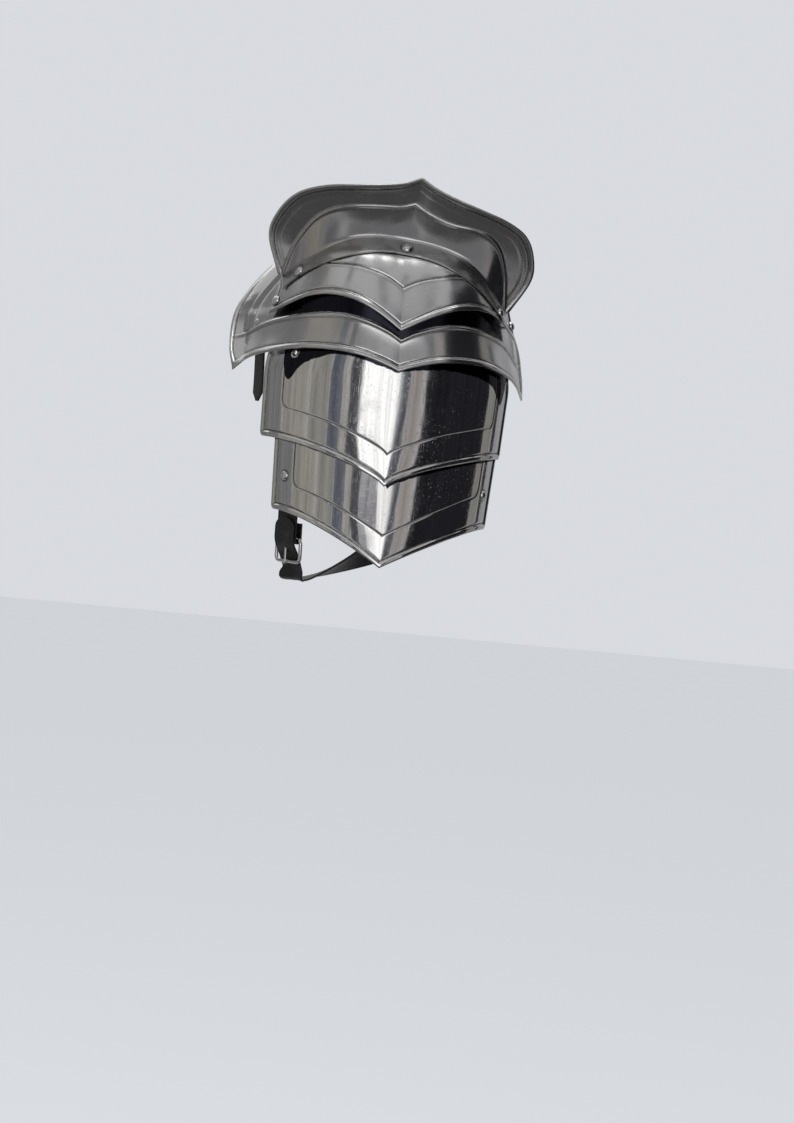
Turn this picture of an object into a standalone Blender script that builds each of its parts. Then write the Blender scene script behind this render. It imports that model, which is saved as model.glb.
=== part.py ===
# Right-shoulder pauldron: haute-piece, cap, winged lame, two arm lames, leathers and arm strap.
# +X is the wearer's front, -Y points away from the body and +Z is up.
# The origin is the underside of the cap's crown, where the piece sits on the shoulder.
import math

import bmesh
import bpy
from mathutils import Vector
from mathutils.bvhtree import BVHTree

for old in list(bpy.data.objects):
    bpy.data.objects.remove(old)

MM = 0.001

# Sheet, leather and the gaps between neighbours
SHEET = 1.2 * MM
LEATHER = 2.0 * MM
GAP = 0.35 * MM
LEATHER_SEAT = 1.8 * MM

# Cap: half width at the lower edge and at the neck, reach from the origin, drops and rises
CAP_HALF_WIDTH = 104 * MM
CAP_NECK_HALF_WIDTH = 95 * MM
CAP_REACH = 110 * MM
CAP_NECK_BACK = 12 * MM
CAP_DROP = 103.5 * MM
CAP_CREASE_BACK = 5 * MM
CAP_ARCH_FALL = 36 * MM
CAP_EDGE_RISE = 24.5 * MM
CAP_FLARE = 4 * MM
SIDE_DEPTH = 79 * MM
DOME_FULLNESS = 0.8
CAP_SIDE_SLOPE = 3.0

# Haute-piece: how far it passes the cap's sides, its height, its crease above the cap's cusp, its lean
HAUTE_OVERHANG = 9.5 * MM
HAUTE_HALF_LENGTH = CAP_HALF_WIDTH + HAUTE_OVERHANG
HAUTE_BACK = 2 * MM
HAUTE_HEIGHT = 53 * MM
HAUTE_CREASE = 77 * MM
HAUTE_LEAN = 12 * MM
HAUTE_FLARE = 27 * MM
HAUTE_TILT = math.radians(4)
FLANGE_CLEARANCE = 0.8 * MM

# Wide lame: how far it shows below the cap, its height, wings and clearance under the cap
WIDE_REVEAL = 33.5 * MM
WING_OVERHANG = 26 * MM
WIDE_HALF_WIDTH = CAP_HALF_WIDTH + WING_OVERHANG
WIDE_CREASE_BACK = 3 * MM
WIDE_HEIGHT = 82 * MM
WIDE_FLARE = 5 * MM
WIDE_SIDE_CLEARANCE = 1.1 * MM
WIDE_NOSE_CLEARANCE = 2.8 * MM
WING_CREASE = 0.9
SIDE_FLARE = 2.2

# Arm lames: how far each shows, and their section
UPPER_REVEAL = 96.5 * MM
UPPER_HEIGHT = 118 * MM
UPPER_INSET = 1 * MM
UPPER_HALF_WIDTH = CAP_HALF_WIDTH - UPPER_INSET
UPPER_SETBACK = 13 * MM
UPPER_REACH = CAP_REACH - UPPER_SETBACK
UPPER_DEPTH = 66 * MM
UPPER_EDGE_RISE = 33 * MM
UPPER_TUCK = 7 * MM
UPPER_TUCK_LENGTH = 32 * MM
UPPER_CREASE_BACK = 4 * MM
LOWER_REVEAL = 68 * MM
LOWER_HEIGHT = 124 * MM
LOWER_INSET = 12 * MM
LOWER_HALF_WIDTH = UPPER_HALF_WIDTH - LOWER_INSET
LOWER_SETBACK = 8 * MM
LOWER_REACH = UPPER_REACH - LOWER_SETBACK
LOWER_DEPTH = 61 * MM
LOWER_EDGE_RISE = 40 * MM
LOWER_FORWARD = 5 * MM
ARM_WRAP = math.radians(68)
ARM_KEEL = 2.0 * MM
ARM_LEAN = 0.05
UPPER_WIDEN = 0.035
LOWER_WIDEN = 0.05

# Raised borders, engraved lines and the wide lame's ridge
BORDER = 5 * MM
BORDER_HEIGHT = 1.0 * MM
LINE_WIDTH = 2.2 * MM
LINE_DEPTH = 0.8 * MM
LINE_ABOVE_EDGE = 27 * MM
LOWER_LINE_SKEW = 4.5 * MM
LINE_FROM_SIDE = 28 * MM
RIDGE_HEIGHT = 1.4 * MM

# Rivets
RIVET_HEAD = 4.0 * MM
RIVET_DOME = 2.2 * MM
RIVET_SHANK = 1.4 * MM
RIVET_TAIL = 2.6 * MM
RIVET_TAIL_HEIGHT = 1.0 * MM
RIVET_SIDES = 10
EYELET_HOLE = 1.6 * MM
PIVOT_PLAY = 0.8 * MM
PIVOT_SLACK = 1.2 * MM

# Leathers, straps and buckle
LEATHER_WIDTH = 20 * MM
LEATHER_END = 9 * MM
STRAP_WIDTH = 25 * MM
HANGING_LENGTH = 71 * MM
HANGING_WIDTH = 17 * MM
BUCKLE_WIRE = 1.6 * MM
BUCKLE_LENGTH = 19 * MM
BUCKLE_SLACK = 1.5 * MM

# Where rivets, the eyelet and the loose strap sit
HAUTE_REAR_RIVET_SHARE = 0.84
HAUTE_FRONT_RIVET_SHARE = 0.92
PIVOT_FROM_SIDE = 7.5 * MM
PIVOT_ABOVE_EDGE = 10 * MM
UPPER_RIVET_SHARE = 0.88
UPPER_RIVET_DROP = 8 * MM
LOWER_RIVET_SHARE = 0.85
LOWER_RIVET_RISE = 69 * MM
BUCKLE_DROP = 54 * MM
TONGUE_WIRE = 1.1 * MM
TAIL_LENGTH = 19 * MM
HANGING_SHARE = 0.86
HANGING_RISE = 6 * MM
EYELET_SHARE = 0.72
EYELET_RISE = 105 * MM
HOLE_REACH = 9 * MM

# Edge tables: lengths are shares of the plate's named sizes, across is the share of its half width
CAP_TABLE = {
    "across": (0, 0.1, 0.27, 0.45, 0.6, 0.75, 0.88, 1),
    "edge": (0, 0.27, 0.67, 0.95, 1.02, 0.9, 0.6, 0.28),
    "line": (1.51, 1.76, 2.0, 2.14, 2.16, 2.12, 2.04, 1.96),
}
WIDE_TABLE = {
    "across": (0, 0.09, 0.25, 0.42, 0.59, 0.75, 0.83, 0.9, 0.95, 1),
    "edge": (0, 0.055, 0.126, 0.152, 0.14, 0.085, 0.043, -0.018, -0.073, -0.122),
    "ridge": (0.317, 0.396, 0.482, 0.518, 0.5, 0.439, 0.378, 0.293, 0.256, 0.244),
    "top": (0.72, 0.74, 0.78, 0.78, 0.76, 0.76, 0.77, 0.81, 0.92, 1),
}
WING_TABLE = {
    "height": (-0.12, 0.07, 0.29, 0.55, 0.78, 1),
    "rear": (0.986, 1.03, 1.03, 1.0, 0.92, 0.838),
    "front": (0.915, 0.95, 0.962, 0.93, 0.865, 0.806),
    "back": (1.2, 1.36, 1.55, 1.72, 1.84, 1.9),
}
HAUTE_TABLE = {
    "across": (0, 0.12, 0.28, 0.45, 0.6, 0.75, 0.86, 0.94, 1),
    "flange_x": (0, 0.113, 0.252, 0.41, 0.557, 0.672, 0.74, 0.775, 0.795),
    "flange_z": (-0.226, -0.236, -0.283, -0.396, -0.547, -0.717, -0.86, -0.955, -1.04),
    "crease_x": (0, 0.113, 0.243, 0.4, 0.535, 0.643, 0.725, 0.778, 0.812),
    "crease_z": (0, 0, -0.028, -0.113, -0.255, -0.453, -0.623, -0.76, -0.88),
    "ridge_x": (0, 0.104, 0.261, 0.443, 0.583, 0.687, 0.755, 0.795, 0.835),
    "ridge_z": (0.594, 0.509, 0.462, 0.396, 0.302, 0.132, -0.132, -0.358, -0.6),
    "rim_x": (0, 0.122, 0.296, 0.504, 0.696, 0.87, 0.97, 1, 0.939),
    "rim_z": (1, 0.84, 0.792, 0.717, 0.642, 0.472, 0.17, -0.17, -0.53),
    "ridge_out": (1, 1, 0.95, 0.85, 0.7, 0.5, 0.35, 0.25, 0.2),
    "rim_out": (1, 1, 0.96, 0.84, 0.66, 0.42, 0.2, 0.05, 0),
}

# The arm strap's middle line, from the front rivet round the back of the arm to the buckle.
# Places are measured from the lower lame's front rivet; wide_x, wide_y and wide_z give the strap's width.
STRAP_ROUTE = (
    # x, y, z, wide_x, wide_y, wide_z (millimetres from the midpoint between the two lower rivets)
    (80, 30, -6, 0, 0, 1),
    (64, 54, -22, 0, 0, 1),
    (38, 69, -41, 0, -0.1, 1),
    (8, 71, -59, 0.1, -0.4, 0.9),
    (-20, 62, -73, 0.3, -0.7, 0.6),
    (-50, 38, -84, 0.6, -0.75, 0.25),
    (-68, 18, -87, 0.75, -0.65, 0),
)


def mix(a, b, t):
    return a + (b - a) * t


def clamp(value, low, high):
    return max(low, min(high, value))


def side_of(a):
    return -1 if a < 0 else 1


def curve(table, column, at, key="across"):
    """Smooth curve through a table's column."""
    xs = table[key]
    ys = table[column]
    at = clamp(at, xs[0], xs[-1])
    last = len(xs) - 1
    i = min(sum(1 for x in xs if x <= at), last) - 1

    def slope(k):
        before, after = max(k - 1, 0), min(k + 1, last)
        return (ys[after] - ys[before]) / (xs[after] - xs[before])

    step = xs[i + 1] - xs[i]
    t = (at - xs[i]) / step
    bend = ys[i] * (1 + 2 * t) * (1 - t) ** 2 + ys[i + 1] * (3 - 2 * t) * t * t
    return bend + step * (slope(i) * t * (1 - t) ** 2 - slope(i + 1) * t * t * (1 - t))


def bump(distance, width):
    """1 at the middle of a raised or sunk line, 0 at its edges."""
    return max(0.0, 1 - (2 * distance / width) ** 2)


def border(distance):
    """Height of the raised border at a distance from the edge."""
    if distance > BORDER:
        return 0.0
    return BORDER_HEIGHT * clamp(4 * (1 - distance / BORDER), 0, 1)


def normal_at(face, a, v):
    step = 0.002
    across = face(a + step, v) - face(a - step, v)
    along = face(a, v + step) - face(a, v - step)
    normal = across.cross(along).normalized()
    return normal


def surface(face, relief, a, v, extra=0.0):
    """A point on a plate's outer face, moved out by its relief and by extra."""
    return face(a, v) + normal_at(face, a, v) * (relief(a, v) + extra)


def skin_normal(face, relief, a, v):
    """The outward direction of the finished skin, its relief included."""
    step = 0.002
    across = surface(face, relief, a + step, v) - surface(face, relief, a - step, v)
    along = surface(face, relief, a, v + step) - surface(face, relief, a, v - step)
    return across.cross(along).normalized()


def add_object(name, verts, faces, material):
    mesh = bpy.data.meshes.new(name)
    mesh.from_pydata([tuple(v) for v in verts], [], faces)
    mesh.materials.append(material)
    shell = bmesh.new()
    shell.from_mesh(mesh)
    bmesh.ops.recalc_face_normals(shell, faces=shell.faces)
    shell.to_mesh(mesh)
    shell.free()
    thing = bpy.data.objects.new(name, mesh)
    bpy.context.scene.collection.objects.link(thing)
    return thing


def sheet_solid(name, outer, inner, material):
    """Close two matching grids of points, outer[row][column], into one sheet."""
    rows, columns = len(outer), len(outer[0])
    verts = [p for row in outer for p in row] + [p for row in inner for p in row]
    shift = rows * columns
    faces = []
    for r in range(rows - 1):
        for c in range(columns - 1):
            k = r * columns + c
            faces.append((k, k + 1, k + columns + 1, k + columns))
            faces.append((k + shift, k + columns + shift, k + columns + 1 + shift, k + 1 + shift))
    rim = [c for c in range(columns)]
    rim += [r * columns + columns - 1 for r in range(1, rows)]
    rim += [(rows - 1) * columns + c for c in range(columns - 2, -1, -1)]
    rim += [r * columns for r in range(rows - 2, 0, -1)]
    for a, b in zip(rim, rim[1:] + rim[:1]):
        faces.append((b, a, a + shift, b + shift))
    return add_object(name, verts, faces, material)


def plate(name, face, relief, columns, levels, material):
    """A sheet-metal plate; levels(a) lists the column's stations from its lower to its upper edge."""
    outer = []
    inner = []
    stations = [levels(a) for a in columns]
    for row in range(len(stations[0])):
        outer.append([surface(face, relief, a, s[row]) for a, s in zip(columns, stations)])
        inner.append([surface(face, relief, a, s[row], -SHEET) for a, s in zip(columns, stations)])
    return sheet_solid(name, outer, inner, material)


def mirrored(shares):
    """Columns from rear to front for shares of the half width that start at 0."""
    return [-s for s in reversed(shares[1:])] + list(shares)


# Shoulder form shared by the cap and the wide lame

def cap_cusp():
    return SHEET - CAP_DROP


def plan_depth(s):
    """How far a section falls back from its nose, as a share of SIDE_DEPTH."""
    return 0.1 * s + 0.9 * s ** 3.2


def crease_shift(a, back):
    """How far a plate's middle crease lies towards the rear of the middle, fading out to its sides."""
    return back * (1 - abs(a)) ** 2


def cap_edge(s):
    return cap_cusp() + CAP_EDGE_RISE * curve(CAP_TABLE, "edge", s)


def cap_line(s):
    return cap_cusp() + CAP_EDGE_RISE * curve(CAP_TABLE, "line", s)


def cap_arch(s):
    return SHEET - CAP_ARCH_FALL * min(s, 1) ** 2.6


def dome_lean(s, z):
    """How far the shoulder form leans in towards the body at a height."""
    s = min(s, 1)
    rise = clamp((z - cap_edge(s)) / (cap_arch(s) - cap_edge(s)), 0, 1)
    reach = CAP_NECK_BACK + CAP_REACH - SIDE_DEPTH * plan_depth(s)
    return reach * (1 - (1 - rise * rise) ** (DOME_FULLNESS / 2))


def cap_face(a, v):
    """Cap: v is 0 at the lower edge and 1 at the neck edge, as a share of a quarter turn."""
    s = abs(a)
    lift = math.sin(v * math.pi / 2)
    z = mix(cap_edge(s), cap_arch(s), lift)
    x = mix(CAP_HALF_WIDTH, CAP_NECK_HALF_WIDTH, lift) * s
    reach = CAP_NECK_BACK + CAP_REACH - SIDE_DEPTH * plan_depth(s)
    y = CAP_NECK_BACK - reach * max(math.cos(v * math.pi / 2), 0) ** DOME_FULLNESS
    return Vector((x * side_of(a) - crease_shift(a, CAP_CREASE_BACK), y, z))


def cap_quarter(s):
    """Length of a cap column near its lower edge, for each unit of v."""
    return (cap_arch(s) - cap_edge(s)) * math.pi / 2


def cap_line_at(s):
    lift = (cap_line(s) - cap_edge(s)) / (cap_arch(s) - cap_edge(s))
    return math.asin(clamp(lift, 0, 0.98)) * 2 / math.pi


def cap_relief(a, v):
    s = abs(a)
    line = cap_line_at(s)
    below = clamp(1 - v / line, 0, 1)
    side = (1 - s) * CAP_HALF_WIDTH * CAP_SIDE_SLOPE
    edge = min(v * cap_quarter(s), side if v < 0.7 * line else side + BORDER)
    groove = bump((v - line) * cap_quarter(s), LINE_WIDTH)
    return CAP_FLARE * below ** 2 + border(edge) - LINE_DEPTH * groove


def cap_levels(a):
    s = abs(a)
    unit = 1 / cap_quarter(s)
    line = cap_line_at(s)
    half = LINE_WIDTH / 2 * unit
    low = [0, 0.7 * BORDER * unit, BORDER * unit]
    low += [mix(BORDER * unit, line - half, t) for t in (0.35, 0.7)]
    high = [mix(line + half, 0.985, t) for t in (0, 0.16, 0.34, 0.54, 0.76, 1)]
    return low + [line - half, line] + high


def cap_at(x, z):
    """The cap's column and v below a given place seen from outside."""
    a = clamp(x / CAP_HALF_WIDTH, -1, 1)
    lift = 0.0
    for _ in range(12):
        s = abs(a)
        lift = clamp((z - cap_edge(s)) / (cap_arch(s) - cap_edge(s)), 0, 0.995)
        half = mix(CAP_HALF_WIDTH, CAP_NECK_HALF_WIDTH, lift)
        a = clamp((x + crease_shift(a, CAP_CREASE_BACK)) / half, -1, 1)
    return a, math.asin(lift) * 2 / math.pi


# Haute-piece

def haute_outline(a, station):
    """Where a station of the haute-piece lies as seen from outside: its tilted x and z."""
    s = abs(a)
    x = HAUTE_HALF_LENGTH * curve(HAUTE_TABLE, station + "_x", s) * side_of(a)
    z = HAUTE_HEIGHT * curve(HAUTE_TABLE, station + "_z", s)
    c, d = math.cos(HAUTE_TILT), math.sin(HAUTE_TILT)
    return x * c + z * d - HAUTE_BACK, z * c - x * d + cap_cusp() + HAUTE_CREASE


def haute_flange(a, v):
    """The flange lies on the cap; v is 0 at its lower edge and 1 at the crease."""
    low = haute_outline(a, "flange")
    high = haute_outline(a, "crease")
    column, station = cap_at(mix(low[0], high[0], v), mix(low[1], high[1], v))
    return surface(cap_face, cap_relief, column, station, FLANGE_CLEARANCE + SHEET)


def haute_stations(a):
    crease = haute_flange(a, 1)
    ridge_x, ridge_z = haute_outline(a, "ridge")
    rim_x, rim_z = haute_outline(a, "rim")
    ridge_out = HAUTE_LEAN * curve(HAUTE_TABLE, "ridge_out", abs(a))
    rim_out = HAUTE_FLARE * curve(HAUTE_TABLE, "rim_out", abs(a))
    ridge = Vector((ridge_x, crease.y - ridge_out, ridge_z))
    return crease, ridge, Vector((rim_x, crease.y - rim_out, rim_z))


def haute_face(a, v):
    """v runs 0 to 1 up the flange, 1 to 2 up the wall to its ridge and 2 to 3 out to the rim."""
    a = clamp(a, -1, 1)
    crease, ridge, rim = haute_stations(a)
    if v <= 1:
        return haute_flange(a, v)
    if v <= 2:
        return crease.lerp(ridge, v - 1)
    return ridge.lerp(rim, v - 2)


HAUTE_LEVELS = (0, 0.35, 0.7, 1, 1.35, 1.7, 1.94, 2, 2.06, 2.4, 2.84, 2.92, 3)


def haute_relief(v):
    raised = {2: 0.7 * MM, 2.84: 0.3 * MM, 2.92: BORDER_HEIGHT, 3: 0.8 * BORDER_HEIGHT}
    return raised.get(v, 0.0)


def haute_piece(material):
    columns = mirrored([0, 0.05, 0.12, 0.2, 0.28, 0.36, 0.45, 0.53, 0.6, 0.68, 0.75, 0.81, 0.86, 0.9, 0.94, 0.97, 1])
    base = [[haute_face(a, v) for a in columns] for v in HAUTE_LEVELS]
    rows, count = len(base), len(columns)
    outer, inner = [], []
    for r in range(rows):
        outer.append([])
        inner.append([])
        for c in range(count):
            across = base[r][min(c + 1, count - 1)] - base[r][max(c - 1, 0)]
            along = base[min(r + 1, rows - 1)][c] - base[max(r - 1, 0)][c]
            if HAUTE_LEVELS[r] < 1:
                along = base[3][c] - base[0][c]
            normal = across.cross(along).normalized()
            lift = haute_relief(HAUTE_LEVELS[r])
            outer[-1].append(base[r][c] + normal * lift)
            inner[-1].append(base[r][c] + normal * (lift - SHEET))
    return sheet_solid("haute_piece", outer, inner, material)


# Wide lame

def wide_cusp():
    return cap_cusp() - WIDE_REVEAL


def wide_height(column, s):
    return wide_cusp() + WIDE_HEIGHT * curve(WIDE_TABLE, column, s)


def wide_face(a, z):
    """Wide lame: a is the share of the wing's outline at that height."""
    s = abs(a)
    height = (z - wide_cusp()) / WIDE_HEIGHT
    outline = WIDE_HALF_WIDTH * curve(WING_TABLE, "rear" if a < 0 else "front", height, "height")
    pivot_z = cap_edge(1) + 0.3 * CAP_EDGE_RISE
    widen = 1 + SIDE_FLARE * max(pivot_z - z, 0)
    share = min(s * outline / CAP_HALF_WIDTH, 1)
    lift = clamp((z - cap_edge(share)) / (cap_arch(share) - cap_edge(share)), 0, 1)
    half = (mix(CAP_HALF_WIDTH, CAP_NECK_HALF_WIDTH, lift) - SHEET - WIDE_SIDE_CLEARANCE) * widen
    along = s * outline / half
    crease = WING_CREASE * outline / half
    reach = CAP_REACH - SHEET - WIDE_NOSE_CLEARANCE
    y = SIDE_DEPTH * plan_depth(min(along, crease)) - reach + dome_lean(min(along, crease), z)
    if s > WING_CREASE:
        edge = SIDE_DEPTH * curve(WING_TABLE, "back", height, "height") - reach
        y = mix(y, edge, (s - WING_CREASE) / (1 - WING_CREASE))
    return Vector((s * outline * side_of(a) - crease_shift(a, WIDE_CREASE_BACK), y, z))


def wide_relief(a, z):
    s = abs(a)
    edge = wide_height("edge", s)
    ridge = wide_height("ridge", s)
    below = clamp((ridge - z) / (ridge - edge), 0, 1)
    rim = min(z - edge, (1 - s) * WIDE_HALF_WIDTH * 1.7)
    crease = bump((s - WING_CREASE) * WIDE_HALF_WIDTH, 2 * BORDER) if z > ridge else 0
    raised = max(bump(z - ridge, 2 * BORDER), crease)
    return WIDE_FLARE * below ** 1.5 + border(rim) + RIDGE_HEIGHT * raised


def wide_levels(a):
    s = abs(a)
    edge = wide_height("edge", s)
    ridge = wide_height("ridge", s)
    top = wide_height("top", s)
    low = [edge, edge + 0.7 * BORDER, edge + BORDER]
    low += [mix(edge + BORDER, ridge - BORDER, t) for t in (0.5, 1)]
    return low + [ridge] + [mix(ridge + BORDER, top, t) for t in (0, 0.3, 0.65, 1)]


# Arm lames

def arm_form(tip, half_width, reach, depth, widen, tuck, top, forward, crease_back):
    """Section of an arm lame that widens upward and tucks in under the plate above."""
    def face(a, z):
        turn = a * ARM_WRAP
        tucked = tuck * clamp((z - top) / UPPER_TUCK_LENGTH + 1, 0, 1.2) ** 2
        half = half_width + widen * (z - tip) - tucked
        x = half * math.sin(turn) / math.sin(ARM_WRAP)
        back = (1 - math.cos(turn)) / (1 - math.cos(ARM_WRAP))
        keel = ARM_KEEL * max(1 - abs(a) * 3, 0) ** 2
        x += forward - crease_shift(a, crease_back)
        return Vector((x, depth * back - reach - ARM_LEAN * (z - tip) - keel, z))
    return face


def arm_edge(tip, rise, power):
    def edge(a):
        return tip + rise * math.sin(abs(a) * math.pi / 2) ** power
    return edge


def arm_line(edge, skew):
    """Height of an arm lame's engraved line; skew is how much it rises to the front."""
    return lambda a: edge(a) + LINE_ABOVE_EDGE + skew * a


def arm_relief(edge, line, half_width):
    line_side = 1 - LINE_FROM_SIDE / (half_width * 1.28)

    def relief(a, z):
        s = abs(a)
        arc = half_width * 1.28
        rim = min(z - edge(a), (1 - s) * arc)
        line_z = line(a)
        groove = 0.0
        if s <= line_side + 0.02:
            groove = bump(z - line_z, LINE_WIDTH)
        if z >= line_z:
            groove = max(groove, bump((s - line_side) * arc, LINE_WIDTH))
        return border(rim) - LINE_DEPTH * groove
    return relief


def arm_columns(half_width):
    arc = half_width * 1.28
    line = 1 - LINE_FROM_SIDE / arc
    half = LINE_WIDTH / 2 / arc
    inner = [line * t for t in (0, 0.06, 0.14, 0.26, 0.4, 0.55, 0.7, 0.85)]
    outer = [line - half, line, line + half, mix(line + half, 1 - BORDER / arc, 0.5)]
    return mirrored(inner + outer + [1 - BORDER / arc, 1 - 0.7 * BORDER / arc, 1])


def arm_levels(edge, line, top):
    def levels(a):
        low = edge(a)
        mark = line(a)
        rows = [low, low + 0.7 * BORDER, low + BORDER, mix(low + BORDER, mark, 0.5)]
        rows += [mark - LINE_WIDTH / 2, mark, mark + LINE_WIDTH / 2]
        return rows + [mix(mark + LINE_WIDTH / 2, top, t) for t in (0.2, 0.45, 0.72, 1)]
    return levels


def upper_tip():
    return wide_cusp() - UPPER_REVEAL


def lower_tip():
    return upper_tip() - LOWER_REVEAL


def upper_form():
    top = upper_tip() + UPPER_HEIGHT
    face = arm_form(upper_tip(), UPPER_HALF_WIDTH, UPPER_REACH, UPPER_DEPTH, UPPER_WIDEN, UPPER_TUCK, top,
                    0, UPPER_CREASE_BACK)
    edge = arm_edge(upper_tip(), UPPER_EDGE_RISE, 0.75)
    return face, edge, top


def lower_form():
    top = lower_tip() + LOWER_HEIGHT
    face = arm_form(lower_tip(), LOWER_HALF_WIDTH, LOWER_REACH, LOWER_DEPTH, LOWER_WIDEN, 0, top,
                    LOWER_FORWARD, LOWER_FORWARD)
    edge = arm_edge(lower_tip(), LOWER_EDGE_RISE, 0.95)
    return face, edge, top


# Rivets: a domed head outside, a shank and a flat tail inside

def lathe(name, profile, origin, axis, material, sides=RIVET_SIDES):
    """Turn (radius, distance along the axis) pairs round the axis, closed at both ends."""
    axis = axis.normalized()
    spare = Vector((0, 0, 1)) if abs(axis.z) < 0.9 else Vector((1, 0, 0))
    first = axis.cross(spare).normalized()
    second = axis.cross(first)
    verts = []
    for radius, along in profile:
        for k in range(sides):
            turn = 2 * math.pi * k / sides
            verts.append(origin + axis * along + (first * math.cos(turn) + second * math.sin(turn)) * radius)
    faces = [tuple(reversed(range(sides)))]
    for ring in range(len(profile) - 1):
        for k in range(sides):
            low = ring * sides + k
            low_next = ring * sides + (k + 1) % sides
            faces.append((low, low_next, low_next + sides, low + sides))
    faces.append(tuple((len(profile) - 1) * sides + k for k in range(sides)))
    return add_object(name, verts, faces, material)


def seat_height(carrier, place, normal, radius):
    """How high a carrier's skin stands above place under a disc of the given radius."""
    mesh = carrier.data
    tree = BVHTree.FromPolygons([v.co for v in mesh.vertices], [tuple(f.vertices) for f in mesh.polygons])
    first = normal.orthogonal().normalized()
    second = normal.cross(first)
    heights = [0.0]
    for ring in (0.4, 0.75, 1.05):
        for k in range(12):
            turn = math.pi * k / 6
            start = place + (first * math.cos(turn) + second * math.sin(turn)) * (radius * ring)
            hit = tree.ray_cast(start + normal * 3 * MM, -normal, 6 * MM)[0]
            if hit:
                heights.append((hit - place).dot(normal))
    return max(heights)


def rivet(name, carrier, place, normal, stack, material, dome=RIVET_DOME, head=RIVET_HEAD):
    """A rivet whose head sits on its carrier at place; stack is what it clamps below that skin."""
    tail = -stack - GAP
    seat = seat_height(carrier, place, normal, head) + GAP
    profile = [
        (RIVET_TAIL, tail - RIVET_TAIL_HEIGHT),
        (RIVET_TAIL, tail),
        (RIVET_SHANK, tail),
        (RIVET_SHANK, seat),
        (head, seat),
        (head * 0.78, seat + dome * 0.7),
        (head * 0.2, seat + dome),
    ]
    return lathe(name, profile, place, normal, material)


def hole(name, place, normal, radius, length, targets):
    """Cut a round hole through each target."""
    cutter = lathe(name, [(radius, -length), (radius, 3 * MM)], place, normal, cutter_material(), 12)
    cutter.hide_render = True
    cutter.display_type = "WIRE"
    for target in targets:
        cut = target.modifiers.new(name, "BOOLEAN")
        cut.object = cutter
        cut.operation = "DIFFERENCE"
        cut.solver = "EXACT"
    return cutter


def cutter_material():
    return bpy.data.materials.get("cutter") or bpy.data.materials.new("cutter")


# Straps: flat ribbons through stations of (middle, width direction, outward direction)

def ribbon(name, stations, width, thickness, material, pointed=0.0):
    verts = []
    for k, (middle, wide, out) in enumerate(stations):
        half = width / 2
        if pointed and k == len(stations) - 1:
            half = width / 2 - pointed
        for w, t in ((-half, -0.5), (half, -0.5), (half, 0.5), (-half, 0.5)):
            verts.append(middle + wide * w + out * (t * thickness))
    faces = [(0, 1, 2, 3)]
    for k in range(len(stations) - 1):
        for j in range(4):
            a, b = 4 * k + j, 4 * k + (j + 1) % 4
            faces.append((b, a, a + 4, b + 4))
    end = 4 * (len(stations) - 1)
    faces.append((end + 3, end + 2, end + 1, end))
    return add_object(name, verts, faces, material)


def frames(points, widths):
    """Stations along a route, each with its width and outward directions squared to the route."""
    stations = []
    for k, (point, wide) in enumerate(zip(points, widths)):
        ahead = points[min(k + 1, len(points) - 1)] - points[max(k - 1, 0)]
        ahead.normalize()
        wide = (wide - ahead * wide.dot(ahead)).normalized()
        stations.append((point, wide, ahead.cross(wide)))
    return stations


def smooth_route(points, steps):
    """Catmull-Rom curve through points."""
    route = []
    for k in range(len(points) - 1):
        p0, p1, p2 = points[max(k - 1, 0)], points[k], points[k + 1]
        p3 = points[min(k + 2, len(points) - 1)]
        for j in range(steps):
            t = j / steps
            route.append(0.5 * (2 * p1 + (p2 - p0) * t + (2 * p0 - 5 * p1 + 4 * p2 - p3) * t * t
                                + (3 * p1 - 3 * p2 + p3 - p0) * t ** 3))
    route.append(points[-1].copy())
    return route


def pierce(face, a, v, place, axis):
    """The column and station where a line through place along axis meets a face."""
    step = 0.0005
    for _ in range(30):
        point = face(a, v)
        miss = point - place
        miss -= axis * miss.dot(axis)
        across = (face(a + step, v) - point) / step
        along = (face(a, v + step) - point) / step
        across -= axis * across.dot(axis)
        along -= axis * along.dot(axis)
        aa, ab, bb = across.dot(across), across.dot(along), along.dot(along)
        ma, mb = miss.dot(across), miss.dot(along)
        det = aa * bb - ab * ab
        a = clamp(a - (ma * bb - mb * ab) / det, -0.995, 0.995)
        v -= (mb * aa - ma * ab) / det
    return a, v


def box(name, centre, axes, size, material):
    """A box along three axes, for cutting slots."""
    verts = []
    for k in (-0.5, 0.5):
        for j in (-0.5, 0.5):
            for i in (-0.5, 0.5):
                corner = axes[0] * (i * size[0]) + axes[1] * (j * size[1]) + axes[2] * (k * size[2])
                verts.append(centre + corner)
    faces = [(0, 2, 3, 1), (4, 5, 7, 6), (0, 1, 5, 4), (2, 6, 7, 3), (0, 4, 6, 2), (1, 3, 7, 5)]
    cutter = add_object(name, verts, faces, material)
    cutter.hide_render = True
    cutter.display_type = "WIRE"
    return cutter


def cut_with(cutter, target):
    cut = target.modifiers.new(cutter.name, "BOOLEAN")
    cut.object = cutter
    cut.operation = "DIFFERENCE"
    cut.solver = "EXACT"


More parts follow.
